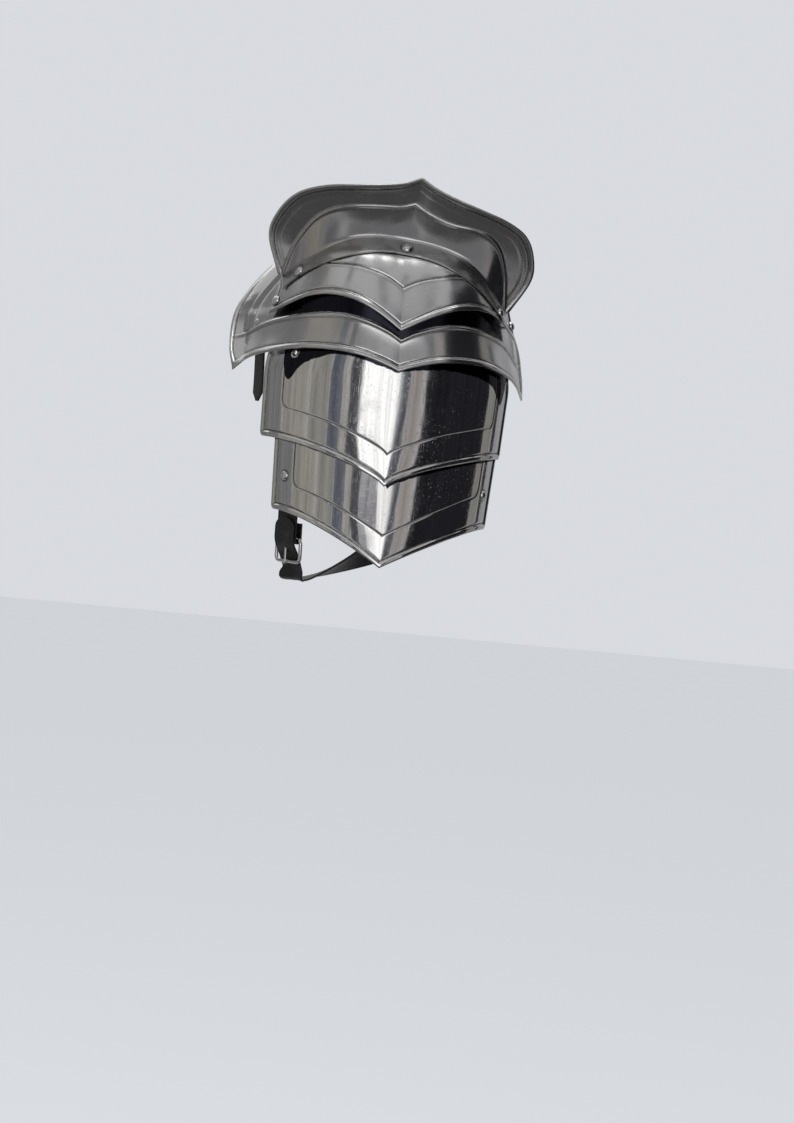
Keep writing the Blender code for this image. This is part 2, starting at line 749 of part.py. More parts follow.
def tube(name, points, radius, closed, side, material, sides=8):
    """A round wire along points that stay in the plane square to side."""
    verts, faces = [], []
    count = len(points)
    for k, point in enumerate(points):
        before = points[k - 1] if closed or k else point
        after = points[(k + 1) % count] if closed or k < count - 1 else point
        ahead = (after - before).normalized()
        up = ahead.cross(side).normalized()
        for j in range(sides):
            turn = 2 * math.pi * j / sides
            verts.append(point + (side * math.cos(turn) + up * math.sin(turn)) * radius)
    for k in range(count if closed else count - 1):
        for j in range(sides):
            a, b = k * sides + j, k * sides + (j + 1) % sides
            c, d = (a + sides) % (count * sides), (b + sides) % (count * sides)
            faces.append((a, c, d, b))
    if not closed:
        faces.append(tuple(range(sides)))
        faces.append(tuple(reversed(range((count - 1) * sides, count * sides))))
    return add_object(name, verts, faces, material)


def material(name, colour, roughness, metallic):
    made = bpy.data.materials.new(name)
    made.use_nodes = True
    shader = made.node_tree.nodes["Principled BSDF"]
    shader.inputs["Base Color"].default_value = (*colour, 1)
    shader.inputs["Roughness"].default_value = roughness
    shader.inputs["Metallic"].default_value = metallic
    return made


def steel(name, shade=0.62):
    return material(name, (shade, shade * 0.985, shade * 0.96), 0.18, 1.0)


def leather(name, shade=0.012):
    return material(name, (shade, shade * 0.95, shade * 0.9), 0.55, 0.0)


def build():
    cap_columns = mirrored([0, 0.06, 0.14, 0.24, 0.34, 0.45, 0.56, 0.67, 0.77, 0.85, 0.91, 0.95, 0.984, 0.9885, 1])
    cap = plate("cap_lame", cap_face, cap_relief, cap_columns, cap_levels, steel("cap_steel"))
    haute = haute_piece(steel("haute_steel", 0.58))
    wide_columns = mirrored([0, 0.05, 0.12, 0.2, 0.3, 0.4, 0.5, 0.6, 0.7, 0.78, 0.84, 0.87, 0.9, 0.93, 0.977, 0.984, 1])
    wide = plate("wide_lame", wide_face, wide_relief, wide_columns, wide_levels, steel("wide_steel"))
    upper_face, upper_edge, upper_top = upper_form()
    lower_face, lower_edge, lower_top = lower_form()
    upper_line = arm_line(upper_edge, 0)
    lower_line = arm_line(lower_edge, LOWER_LINE_SKEW)
    upper_relief = arm_relief(upper_edge, upper_line, UPPER_HALF_WIDTH)
    lower_relief = arm_relief(lower_edge, lower_line, LOWER_HALF_WIDTH)
    upper = plate("upper_arm_lame", upper_face, upper_relief, arm_columns(UPPER_HALF_WIDTH),
                  arm_levels(upper_edge, upper_line, upper_top), steel("upper_steel"))
    lower = plate("lower_arm_lame", lower_face, lower_relief, arm_columns(LOWER_HALF_WIDTH),
                  arm_levels(lower_edge, lower_line, lower_top), steel("lower_steel"))
    rivet_steel = steel("rivet_steel", 0.66)

    # Haute rivets: centre, rear and front
    for name, a in (("centre", 0), ("rear", -HAUTE_REAR_RIVET_SHARE), ("front", HAUTE_FRONT_RIVET_SHARE)):
        place = haute_face(a, 0.45)
        normal = normal_at(haute_face, a, 0.45)
        cap_a, cap_v = cap_at(place.x, place.z)
        cap_a, cap_v = pierce(cap_face, cap_a, cap_v, place, normal)
        drop = (place - surface(cap_face, cap_relief, cap_a, cap_v)).dot(normal)
        rivet("haute_rivet_" + name, haute, place, normal, drop + SHEET + GAP, rivet_steel)
        hole("haute_hole_" + name, place, normal, RIVET_SHANK + GAP, HOLE_REACH, (haute, cap))

    seat = SHEET + LEATHER_SEAT + LEATHER / 2
    carried = {}
    for name, side in (("rear", -1), ("front", 1)):
        # Pivot rivet through the cap, the wide lame and the top of the leather
        a = side * (1 - PIVOT_FROM_SIDE / (CAP_HALF_WIDTH * CAP_SIDE_SLOPE))
        v = PIVOT_ABOVE_EDGE / cap_quarter(abs(a))
        place = surface(cap_face, cap_relief, a, v)
        normal = skin_normal(cap_face, cap_relief, a, v)
        wide_a, wide_z = pierce(wide_face, 0.8 * side, place.z, place, normal)
        wide_skin = surface(wide_face, wide_relief, wide_a, wide_z)
        drop = (place - wide_skin).dot(normal)
        stack = drop + SHEET + LEATHER_SEAT + LEATHER
        rivet("pivot_rivet_" + name, cap, place, normal, stack + PIVOT_SLACK, rivet_steel)
        carried[name] = [place]

        # Leather strip down to the lower lame
        a_up, z_up = side * UPPER_RIVET_SHARE, upper_top - UPPER_RIVET_DROP
        a_low, z_low = side * LOWER_RIVET_SHARE, lower_tip() + LOWER_RIVET_RISE
        marks = [
            (wide_face, wide_a, wide_z + LEATHER_END), (wide_face, wide_a, wide_z),
            (upper_face, a_up, upper_top + 1 * MM), (upper_face, a_up, z_up),
            (upper_face, mix(a_up, a_low, 0.5), mix(z_up, lower_top, 0.55)),
            (lower_face, a_low, lower_top + 1 * MM), (lower_face, a_low, mix(lower_top, z_low, 0.5)),
            (lower_face, a_low, z_low), (lower_face, a_low, z_low - LEATHER_END),
        ]
        points = [face(a, z) - normal_at(face, a, z) * seat for face, a, z in marks]
        widths = [(face(a + 0.01, z) - face(a - 0.01, z)).normalized() for face, a, z in marks]
        strip = ribbon(name + "_leather", frames(points, widths), LEATHER_WIDTH, LEATHER, leather(name + "_black"))
        hole("pivot_hole_" + name, place, normal, RIVET_SHANK + PIVOT_PLAY, stack + 8 * MM, (cap, wide, strip))

        # Rivet of the upper arm lame, hidden under the wide lame
        place = surface(upper_face, upper_relief, a_up, z_up)
        normal = normal_at(upper_face, a_up, z_up)
        rivet("upper_rivet_" + name, upper, place, normal, seat + LEATHER / 2 + GAP, rivet_steel, 0.9 * MM, 3 * MM)
        hole("upper_hole_" + name, place, normal, RIVET_SHANK + GAP, HOLE_REACH, (upper, strip))
        carried[name] += [(strip, a_low, z_low)]

    strap, short = arm_strap(lower_face, carried["front"][1], carried["rear"][1], rivet_steel)
    for name, extra in (("rear", short), ("front", strap)):
        strip, a_low, z_low = carried[name][1]
        place = surface(lower_face, lower_relief, a_low, z_low)
        normal = normal_at(lower_face, a_low, z_low)
        stack = seat + LEATHER / 2 + GAP + LEATHER
        rivet("lower_rivet_" + name, lower, place, normal, stack, rivet_steel)
        hole("lower_hole_" + name, place, normal, RIVET_SHANK + GAP, stack + 6 * MM, (lower, strip, extra))

    # Loose strap end inside the rear wing
    a, z = -HANGING_SHARE, wide_height("ridge", HANGING_SHARE) + HANGING_RISE
    place = surface(wide_face, wide_relief, a, z)
    normal = skin_normal(wide_face, wide_relief, a, z)
    top = place - normal * seat
    wide_dir = (wide_face(a + 0.01, z) - wide_face(a - 0.01, z)).normalized()
    inward = Vector((1, 0, 0))
    corner = 0.1 * HANGING_LENGTH
    fall = [0, 0.1 * HANGING_LENGTH, 0.27 * HANGING_LENGTH, HANGING_LENGTH - corner, HANGING_LENGTH]
    sway = [0.055 * HANGING_LENGTH * k for k in (0, 0, 0.4, 1, 1)]
    points = [top + Vector((0, 0, 4 * MM - f)) + inward * s for f, s in zip(fall, sway)]
    hanging = ribbon("hanging_strap", frames(points, [wide_dir] * len(points)), HANGING_WIDTH, LEATHER,
                     leather("hanging_black"), corner)
    rivet("hanging_rivet", wide, place, normal, seat + LEATHER / 2 + 3 * GAP, rivet_steel, 0.9 * MM, 3 * MM)
    hole("hanging_hole", place, normal, RIVET_SHANK + GAP, HOLE_REACH, (wide, hanging))

    # Eyelet hole at the rear of the upper arm lame
    a, z = -EYELET_SHARE, upper_tip() + EYELET_RISE
    hole("eyelet_hole", upper_face(a, z), normal_at(upper_face, a, z), EYELET_HOLE, 5 * MM, (upper,))
    return carried


def arm_strap(face, front, rear, metal):
    """The long strap from the front rivet round the arm and through the buckle, and the buckle's strap."""
    inset = SHEET + LEATHER_SEAT + LEATHER * 1.5 + GAP
    _, a_front, z_low = front
    _, a_rear, _ = rear
    out = normal_at(face, a_rear, z_low)
    wide = (face(a_rear + 0.01, z_low) - face(a_rear - 0.01, z_low)).normalized()
    down = (face(a_rear, z_low - 1 * MM) - face(a_rear, z_low)).normalized()
    hang = face(a_rear, z_low) - out * inset
    layer = BUCKLE_WIRE + GAP + LEATHER / 2
    bar = hang + down * BUCKLE_DROP - out * layer

    def spot(along, lift):
        return bar + down * along + out * lift

    # Short strap: down outside the bar, round it and up again
    turn = [spot(layer * math.sin(t), layer * math.cos(t)) for t in (math.pi * k / 6 for k in range(7))]
    run = [hang - down * LEATHER_END, hang, spot(-BUCKLE_DROP * 0.5, layer)] + turn + [spot(-14 * MM, -layer)]
    short = ribbon("buckle_strap", frames(run, [wide] * len(run)), STRAP_WIDTH, LEATHER, leather("buckle_black"))
    slot = box("buckle_slot", spot(0, 0), (down, wide, out), (13 * MM, 2 * TONGUE_WIRE + 3 * GAP, 12 * MM),
               cutter_material())
    cut_with(slot, short)

    # Frame round the bar and the far side
    half = STRAP_WIDTH / 2 + BUCKLE_SLACK + BUCKLE_WIRE
    corner = 4 * MM
    ring = []
    corners = ((BUCKLE_LENGTH - corner, half - corner, 0), (corner, half - corner, 1),
               (corner, corner - half, 2), (BUCKLE_LENGTH - corner, corner - half, 3))
    for along, across, quarter in corners:
        for k in range(4):
            turn_by = math.pi / 2 * (quarter + k / 3)
            ring.append(spot(along + corner * math.cos(turn_by), 0) + wide * (across + corner * math.sin(turn_by)))
    tube("buckle_frame", ring, BUCKLE_WIRE, True, out, metal)

    # Tongue: a loop round the bar and a pin that rests on the far side
    loop = BUCKLE_WIRE + GAP + TONGUE_WIRE
    pin = [spot(loop * math.sin(t), loop * math.cos(t)) for t in (-math.pi * k / 6 for k in range(9, -1, -1))]
    pin += [spot(BUCKLE_LENGTH * 0.4, loop), spot(BUCKLE_LENGTH, loop), spot(BUCKLE_LENGTH + 2.4 * MM, loop)]
    tube("buckle_tongue", pin, TONGUE_WIRE, False, wide, metal, 6)

    # Long strap
    start_out = normal_at(face, a_front, z_low)
    start_dir = (face(a_front + 0.01, z_low) - face(a_front - 0.01, z_low)).normalized()
    seat = face(a_front, z_low) - start_out * inset
    upright = (face(a_front, z_low + 1 * MM) - face(a_front, z_low)).normalized()
    points = [seat - start_dir * 10 * MM, seat, seat + start_dir * 11 * MM]
    widths = [upright] * 3
    middle = (face(a_front, z_low) + face(a_rear, z_low)) / 2
    for x, y, z, wx, wy, wz in STRAP_ROUTE:
        points.append(middle + Vector((x, y, z)) * MM)
        widths.append(Vector((wx, wy, wz)))
    under = -(BUCKLE_WIRE + GAP + LEATHER / 2)
    over = layer + LEATHER + GAP + 0.3 * MM
    far = BUCKLE_LENGTH
    for along, lift in ((far + 7 * MM, under - 3 * MM), (far, under - 0.3 * MM), (far * 0.62, over * 0.02),
                        (far * 0.26, over * 0.72), (-1 * MM, over), (-6 * MM, over), (-TAIL_LENGTH, over)):
        points.append(spot(along, lift))
        widths.append(wide)
    route = points[:2] + smooth_route(points[2:], 4)
    spread = widths[:2] + smooth_route(widths[2:], 4)
    stations = frames(route, spread)
    strap = ribbon("arm_strap", stations, STRAP_WIDTH, LEATHER, leather("strap_black"))
    gap = box("tongue_slot", spot(BUCKLE_LENGTH * 0.33, loop), (down, wide, out),
              (11.5 * MM, 2 * TONGUE_WIRE + 2 * GAP, 6 * MM), cutter_material())
    cut_with(gap, strap)
    return strap, short


build()
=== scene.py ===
import math

import bmesh
import bpy
import numpy as np
from mathutils import Matrix, Vector


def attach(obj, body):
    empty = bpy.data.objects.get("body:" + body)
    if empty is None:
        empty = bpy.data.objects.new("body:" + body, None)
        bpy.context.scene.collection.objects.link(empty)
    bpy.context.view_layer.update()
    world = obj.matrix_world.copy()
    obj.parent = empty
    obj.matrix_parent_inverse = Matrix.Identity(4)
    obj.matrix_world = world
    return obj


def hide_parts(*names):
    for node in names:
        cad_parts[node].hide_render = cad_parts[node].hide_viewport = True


# Looks of a right-shoulder pauldron: five polished plates, their rivets, and black leather.
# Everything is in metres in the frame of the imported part; +X is the wearer's front, -Y is outward.
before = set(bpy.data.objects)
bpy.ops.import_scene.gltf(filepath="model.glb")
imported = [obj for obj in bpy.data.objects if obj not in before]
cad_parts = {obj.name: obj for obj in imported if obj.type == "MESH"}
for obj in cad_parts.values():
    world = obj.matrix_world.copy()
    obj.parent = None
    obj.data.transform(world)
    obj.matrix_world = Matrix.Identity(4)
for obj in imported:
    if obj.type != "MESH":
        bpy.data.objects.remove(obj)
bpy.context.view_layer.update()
mm = 0.001
sheetThickness = 1.2 * mm
print("frame loaded:", len(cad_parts), "nodes")


# Curves and blends, all on arrays

def mix(a, b, t):
    return a + (b - a) * t


def smooth(t):
    t = np.clip(t, 0, 1)
    return t * t * (3 - 2 * t)


def hump(distance, width):
    return np.exp(-(distance / width) ** 2)


def softMin(a, b, radius):
    h = np.clip(0.5 + 0.5 * (b - a) / radius, 0, 1)
    return mix(b, a, h) - radius * h * (1 - h)


def splineThrough(places, values):
    x, y = np.array(places, float), np.array(values, float)
    gaps, count = np.diff(x), len(x)
    matrix, right = np.eye(count), np.zeros(count)
    for i in range(1, count - 1):
        matrix[i, i - 1:i + 2] = gaps[i - 1], 2 * (gaps[i - 1] + gaps[i]), gaps[i]
        right[i] = 6 * ((y[i + 1] - y[i]) / gaps[i] - (y[i] - y[i - 1]) / gaps[i - 1])
    bend = np.linalg.solve(matrix, right)

    def at(t):
        t = np.clip(t, x[0], x[-1])
        i = np.clip(np.searchsorted(x, t, side="right") - 1, 0, count - 2)
        p, q = (x[i + 1] - t) / gaps[i], (t - x[i]) / gaps[i]
        curved = (p ** 3 - p) * bend[i] + (q ** 3 - q) * bend[i + 1]
        return p * y[i] + q * y[i + 1] + curved * gaps[i] ** 2 / 6
    return at


def curveThrough(places, values):
    # passes each value with the slope between its neighbours, so a steep step never swings over
    x, y = np.array(places, float), np.array(values, float)
    last = len(x) - 1
    before, after = np.maximum(np.arange(last + 1) - 1, 0), np.minimum(np.arange(last + 1) + 1, last)
    slope = (y[after] - y[before]) / (x[after] - x[before])

    def at(t):
        t = np.clip(t, x[0], x[-1])
        i = np.clip(np.searchsorted(x, t, side="right") - 1, 0, last - 1)
        step = x[i + 1] - x[i]
        p = (t - x[i]) / step
        q = 1 - p
        value = y[i] * (1 + 2 * p) * q * q + y[i + 1] * (3 - 2 * p) * p * p
        return value + step * (slope[i] * p * q * q - slope[i + 1] * p * p * q)
    return at


def curves(through, places, **tables):
    return {name: through(places, values) for name, values in tables.items()}


def point(x, y, z):
    return np.stack(np.broadcast_arrays(x, y, z), axis=-1)


def unit(v):
    return v / np.maximum(np.linalg.norm(v, axis=-1, keepdims=True), 1e-12)


def facing(place, a, v, step=0.002):
    across = place(a + step, v) - place(a - step, v)
    along = place(a, v + step) - place(a, v - step)
    return unit(np.cross(across, along))


def skin(face, relief, a, v, extra=0.0):
    lift = (relief(a, v) + extra)[..., None]
    return face(a, v) + facing(face, a, v) * lift


def skinFacing(face, relief, a, v):
    return facing(lambda p, q: skin(face, relief, p, q), a, v)


def at(face, a, z):
    return face(np.array(float(a)), np.array(float(z)))


def outOf(face, a, z):
    return facing(face, np.array(float(a)), np.array(float(z)))


def acrossOf(face, a, z):
    return unit(at(face, a + 0.01, z) - at(face, a - 0.01, z))


def lengthAlong(rows):
    # the length from the first row to each, for one line of points or for every column of a grid
    steps = np.linalg.norm(np.diff(rows, axis=0), axis=-1)
    return np.concatenate([np.zeros((1, *steps.shape[1:])), np.cumsum(steps, axis=0)])


def evened(points, along, width, fade):
    # each point becomes the mean of those near it along the line; fade narrows that towards the ends
    reach = np.maximum(width * fade, 1e-6)[:, None]
    weight = np.exp(-((along[:, None] - along[None, :]) / reach) ** 2)
    return weight @ points / weight.sum(1)[:, None]


# Mesh helpers

def addMesh(name, verts, faces, material):
    mesh = bpy.data.meshes.new(name)
    mesh.from_pydata(np.reshape(verts, (-1, 3)).tolist(), [], faces)
    shell = bmesh.new()
    shell.from_mesh(mesh)
    bmesh.ops.recalc_face_normals(shell, faces=shell.faces)
    shell.to_mesh(mesh)
    shell.free()
    mesh.materials.append(material)
    thing = bpy.data.objects.new(name, mesh)
    bpy.context.scene.collection.objects.link(thing)
    return thing


def settle(thing, smoothAngle=50):
    # turns a piece with modifiers into a plain smooth mesh of the same name
    graph = bpy.context.evaluated_depsgraph_get()
    mesh = bpy.data.meshes.new_from_object(thing.evaluated_get(graph))
    thing.modifiers.clear()
    thing.data = mesh
    mesh.shade_smooth()
    mesh.set_sharp_from_angle(angle=math.radians(smoothAngle))
    return thing


def shellFaces(rows, columns):
    k = np.arange((rows - 1) * columns).reshape(rows - 1, columns)[:, :-1].ravel()
    shift = rows * columns
    top = np.stack([k, k + 1, k + columns + 1, k + columns], 1)
    rim = list(range(columns)) + [r * columns + columns - 1 for r in range(1, rows)]
    rim += [(rows - 1) * columns + c for c in range(columns - 2, -1, -1)]
    rim += [r * columns for r in range(rows - 2, 0, -1)]
    sides = [(b, a, a + shift, b + shift) for a, b in zip(rim, rim[1:] + rim[:1])]
    return top.tolist() + (top + shift)[:, ::-1].tolist() + sides


grimeAndShadeShare = 0.75  # how sharp a hollow, in 1/mm, counts as fully darkened by grime and painted shade


def valleys(grid, lift):
    # 0 to 1 where the relief is hollow over less than about a millimetre, where grime settles and shade is painted
    total = np.zeros(lift.shape)
    for axis in (0, 1):
        step = np.linalg.norm(np.diff(grid, axis=axis), axis=2)
        slope = np.diff(lift, axis=axis) / np.maximum(step, 1e-6)
        inner = (slice(1, -1), slice(None)) if axis == 0 else (slice(None), slice(1, -1))
        gap = (step[1:] + step[:-1]) / 2 if axis == 0 else (step[:, 1:] + step[:, :-1]) / 2
        total[inner] += np.maximum(np.diff(slope, axis=axis) / np.maximum(gap, 1e-6), 0)
    return np.clip(total * mm / grimeAndShadeShare, 0, 1)


def plateShell(name, outer, inner, material, grimeAndShade, lap, edgeRound=0.35 * mm):
    rows, columns = outer.shape[:2]
    thing = addMesh(name, np.concatenate([outer.reshape(-1, 3), inner.reshape(-1, 3)]),
                    shellFaces(rows, columns), material)
    # grime and painted shade in the hollows, a quarter of it on the inner skin, and painted shade under overlaps
    for label, values, inside in (("grimeAndShade", grimeAndShade, 0.25), ("lap", lap, 0.0)):
        both = np.concatenate([values.ravel(), np.full(values.size, inside)])
        thing.data.attributes.new(label, "FLOAT", "POINT").data.foreach_set("value", both)
    bevel = thing.modifiers.new("roundedRim", "BEVEL")
    bevel.width, bevel.segments = edgeRound, 2
    bevel.limit_method, bevel.angle_limit = "ANGLE", math.radians(62)
    return settle(thing)


def sheetPlate(name, face, relief, columns, stations, material, paintedShadeOf=None):
    a = np.broadcast_to(columns, stations.shape)
    outer = skin(face, relief, a, stations)
    inner = skin(face, relief, a, stations, -sheetThickness)
    lap = paintedShadeOf(a, stations) if paintedShadeOf else np.zeros(stations.shape)
    return plateShell(name, outer, inner, material, valleys(outer, relief(a, stations)), lap)


def ladder(marks, counts):
    # rows of stations between neighbouring marks, each mark one value for every column
    rows = [mix(low, high, k / count) for low, high, count in zip(marks, marks[1:], counts) for k in range(count)]
    return np.array(rows + [marks[-1]])


def tubeFaces(rows, around, closed=False):
    faces = [(r * around + c, r * around + (c + 1) % around, (r + 1) % rows * around + (c + 1) % around,
              (r + 1) % rows * around + c) for r in range(rows if closed else rows - 1) for c in range(around)]
    ends = [] if closed else [tuple(range(around)), tuple((rows - 1) * around + c for c in range(around))]
    return faces + ends


def mirroredColumns(*spans):
    # columns from the middle out, each span given as from, to and how many, and the same on the other side
    places = np.unique(np.round(np.concatenate([np.linspace(*span) for span in spans]), 6))
    return np.concatenate([-places[:0:-1], places])


# Node helpers

def addNode(tree, kind, values=None, **settings):
    made = tree.nodes.new(kind)
    for key, value in settings.items():
        setattr(made, key, value)
    for key, value in (values or {}).items():
        if isinstance(value, bpy.types.NodeSocket):
            tree.links.new(value, made.inputs[key])
        else:
            made.inputs[key].default_value = value
    return made


def maths(tree, operation, *values):
    return addNode(tree, "ShaderNodeMath", dict(enumerate(values)), operation=operation).outputs[0]


def ranged(tree, value, fromLow, fromHigh, toLow, toHigh):
    spread = {"Value": value, "From Min": fromLow, "From Max": fromHigh, "To Min": toLow, "To Max": toHigh}
    return addNode(tree, "ShaderNodeMapRange", spread, interpolation_type="SMOOTHSTEP").outputs[0]


def blended(tree, factor, first, second):
    node = addNode(tree, "ShaderNodeMix", data_type="RGBA")
    for socket, value in ((node.inputs[0], factor), (node.inputs[6], first), (node.inputs[7], second)):
        if isinstance(value, bpy.types.NodeSocket):
            tree.links.new(value, socket)
        else:
            socket.default_value = value
    return node.outputs[2]


def noise(tree, place, scale, detail=2.0, roughness=0.5):
    values = {"Vector": place, "Scale": scale, "Detail": detail, "Roughness": roughness}
    return addNode(tree, "ShaderNodeTexNoise", values).outputs[0]


def stretched(tree, place, scale, turn=(0, 0, 0)):
    return addNode(tree, "ShaderNodeMapping", {"Vector": place, "Scale": scale, "Rotation": turn}).outputs[0]


def newGroup(name, inputs, outputs):
    group = bpy.data.node_groups.new(name, "ShaderNodeTree")
    for label, low in inputs:
        group.interface.new_socket(label, in_out="INPUT", socket_type="NodeSocketFloat").default_value = low
    group.interface.new_socket("Place", in_out="INPUT", socket_type="NodeSocketVector")
    for label, kind in outputs:
        group.interface.new_socket(label, in_out="OUTPUT", socket_type=kind)
    return group, group.nodes.new("NodeGroupInput").outputs, group.nodes.new("NodeGroupOutput").inputs


def handPolishGroup():
    # scratches, pits and haze that a hand polish leaves on steel
    group, given, made = newGroup("handPolish", [("Pits", 0.5), ("Scratches", 0.5), ("Haze", 0.5), ("Stain", 0.5)],
                                  [("Height", "NodeSocketFloat"), ("Gloss Loss", "NodeSocketFloat"),
                                   ("Stain Mask", "NodeSocketFloat")])
    place = given["Place"]
    patches = ranged(group, noise(group, place, 26, 3), 0.42, 0.66, 0, 1)
    pitField = noise(group, place, 620, 3, 0.6)
    pits = maths(group, "MULTIPLY", ranged(group, pitField, 0.62, 0.74, 0, 1), maths(group, "ADD", patches, 0.12))
    fine = noise(group, stretched(group, place, (1500, 1500, 38), (0.05, 0.03, 0)), 1, 2)
    crossing = noise(group, stretched(group, place, (90, 90, 1900), (0.5, 0.25, 0)), 1, 2)
    scratches = maths(group, "ADD", ranged(group, fine, 0.6, 0.78, 0, 1), ranged(group, crossing, 0.64, 0.8, 0, 1))
    deep = maths(group, "MULTIPLY", pits, given["Pits"])
    lines = maths(group, "MULTIPLY", scratches, given["Scratches"])
    group.links.new(maths(group, "MULTIPLY", maths(group, "ADD", deep, maths(group, "MULTIPLY", lines, 0.35)), -1),
                    made["Height"])
    haze = maths(group, "MULTIPLY", ranged(group, noise(group, place, 45, 4, 0.6), 0.4, 0.75, 0, 1), given["Haze"])
    loss = maths(group, "ADD", haze, maths(group, "MULTIPLY", maths(group, "ADD", deep, lines), 0.4))
    group.links.new(loss, made["Gloss Loss"])
    stain = ranged(group, noise(group, stretched(group, place, (14, 14, 5)), 1, 4, 0.6), 0.52, 0.8, 0, 1)
    group.links.new(maths(group, "MULTIPLY", stain, given["Stain"]), made["Stain Mask"])
    return group


def newMaterial(name):
    material = bpy.data.materials.new(name)
    material.use_nodes = True
    return material, material.node_tree, material.node_tree.nodes["Principled BSDF"]


def feed(tree, shader, **sources):
    # links a value to each named input of the shader; BaseColor feeds Base Color
    for label, source in sources.items():
        spaced = "".join(" " + c if c.isupper() else c for c in label).strip()
        tree.links.new(source, shader.inputs[spaced])


steelLooks = {
    "colour": (0.66, 0.655, 0.65, 1),
    "stainColour": (0.52, 0.47, 0.42, 1),
    # grime and painted shade in hollows and round domed heads
    "grimeAndShadeColour": (0.035, 0.033, 0.034, 1),
    # painted shade where a plate lies under another
    "paintedShadeColour": (0.018, 0.018, 0.026, 1),
    "hazeRoughness": 0.3,
    "wavyDepth": 0.16 * mm,
    "markDepth": 0.03 * mm,
    "grimeAndShadeRoughness": 0.25,
}


def polishedSteel(name, polish, pits=0.5, scratches=0.5, haze=0.4, stain=0.35, roughness=0.085, shade=1.0,
                  stainColour=steelLooks["stainColour"]):
    material, tree, shader = newMaterial(name)
    place = addNode(tree, "ShaderNodeTexCoord").outputs["Object"]
    wear = addNode(tree, "ShaderNodeGroup", node_tree=polish)
    for label, value in (("Pits", pits), ("Scratches", scratches), ("Haze", haze), ("Stain", stain)):
        wear.inputs[label].default_value = value
    tree.links.new(place, wear.inputs["Place"])
    dull = [c * shade for c in steelLooks["colour"][:3]] + [1]
    grimeAndShade = addNode(tree, "ShaderNodeAttribute", attribute_name="grimeAndShade").outputs["Fac"]
    lap = addNode(tree, "ShaderNodeAttribute", attribute_name="lap").outputs["Fac"]
    broken = ranged(tree, noise(tree, place, 240, 3), 0.25, 0.6, 0.55, 1)
    stained = blended(tree, wear.outputs["Stain Mask"], dull, stainColour)
    # grime and painted shade: hollows and rings round domed heads go near black
    lined = blended(tree, maths(tree, "MULTIPLY", grimeAndShade, broken), stained, steelLooks["grimeAndShadeColour"])
    # painted shade: dark navy where a plate lies under another, with a ragged edge
    ragged = maths(tree, "ADD", lap, ranged(tree, noise(tree, place, 130, 4, 0.7), 0.3, 0.7, -0.22, 0.22))
    shadeMask = ranged(tree, ragged, 0.3, 0.6, 0, 1)
    rough = ranged(tree, wear.outputs["Gloss Loss"], 0, 1, roughness, steelLooks["hazeRoughness"])
    rough = maths(tree, "ADD", rough, maths(tree, "MULTIPLY", grimeAndShade, steelLooks["grimeAndShadeRoughness"]))
    shader.inputs["Metallic"].default_value = 1
    waves = noise(tree, place, 34, 1)
    hammered = addNode(tree, "ShaderNodeBump", {"Height": waves, "Distance": steelLooks["wavyDepth"]})
    marks = addNode(tree, "ShaderNodeBump", {"Height": wear.outputs["Height"], "Distance": steelLooks["markDepth"],
                                             "Normal": hammered.outputs[0]})
    feed(tree, shader, BaseColor=blended(tree, shadeMask, lined, steelLooks["paintedShadeColour"]), Roughness=rough,
         Normal=marks.outputs[0])
    return material


leatherLooks = {"colour": (0.011, 0.0105, 0.0105, 1), "wornColour": (0.035, 0.032, 0.03, 1),
                "grainDepth": 0.1 * mm, "softDepth": 0.5 * mm, "specular": 0.32}


def blackLeather(name, worn=0.6):
    material, tree, shader = newMaterial(name)
    place = addNode(tree, "ShaderNodeTexCoord").outputs["Object"]
    cells = addNode(tree, "ShaderNodeTexVoronoi", {"Vector": place, "Scale": 950.0}, feature="DISTANCE_TO_EDGE")
    creases = ranged(tree, cells.outputs["Distance"], 0.0, 0.22, 0, 1)
    rub = maths(tree, "MULTIPLY", ranged(tree, noise(tree, place, 60, 4, 0.65), 0.5, 0.75, 0, 1), worn)
    rough = ranged(tree, maths(tree, "ADD", rub, maths(tree, "MULTIPLY", creases, 0.3)), 0, 1, 0.36, 0.58)
    shader.inputs["Specular IOR Level"].default_value = leatherLooks["specular"]
    lumps = {"Height": noise(tree, place, 90, 2), "Distance": leatherLooks["softDepth"]}
    soft = addNode(tree, "ShaderNodeBump", lumps)
    grain = {"Height": creases, "Strength": 0.6, "Distance": leatherLooks["grainDepth"], "Normal": soft.outputs[0]}
    bump = addNode(tree, "ShaderNodeBump", grain)
    feed(tree, shader, BaseColor=blended(tree, rub, leatherLooks["colour"], leatherLooks["wornColour"]),
         Roughness=rough, Normal=bump.outputs[0])
    return material


handPolish = handPolishGroup()
capSteel = polishedSteel("capSteel", handPolish, haze=0.8, roughness=0.17)
hauteSteel = polishedSteel("hauteSteel", handPolish, haze=0.9, stain=0.9, roughness=0.2, shade=0.74,
                           stainColour=(0.42, 0.33, 0.29, 1))
wideSteel = polishedSteel("wideSteel", handPolish, haze=0.8, roughness=0.18, shade=0.95)
armSteel = polishedSteel("armSteel", handPolish, pits=1.9, scratches=0.7, haze=0.4, roughness=0.075, shade=1.06)
rivetSteel = polishedSteel("rivetSteel", handPolish, pits=0.2, haze=0.3, roughness=0.1, shade=1.1)
strapLeather = blackLeather("strapLeather")
print("materials made")


# Raised rims and pressed lines

rims = {"width": 5 * mm, "height": 1.0 * mm, "flatWidth": 3.1 * mm, "rounding": 1.3 * mm, "turned": 0.55,
        "underline": 0.3 * mm, "underlinePlace": 5.6 * mm, "underlineWidth": 0.7 * mm, "cornerRound": 2 * mm,
        "zone": 7 * mm}


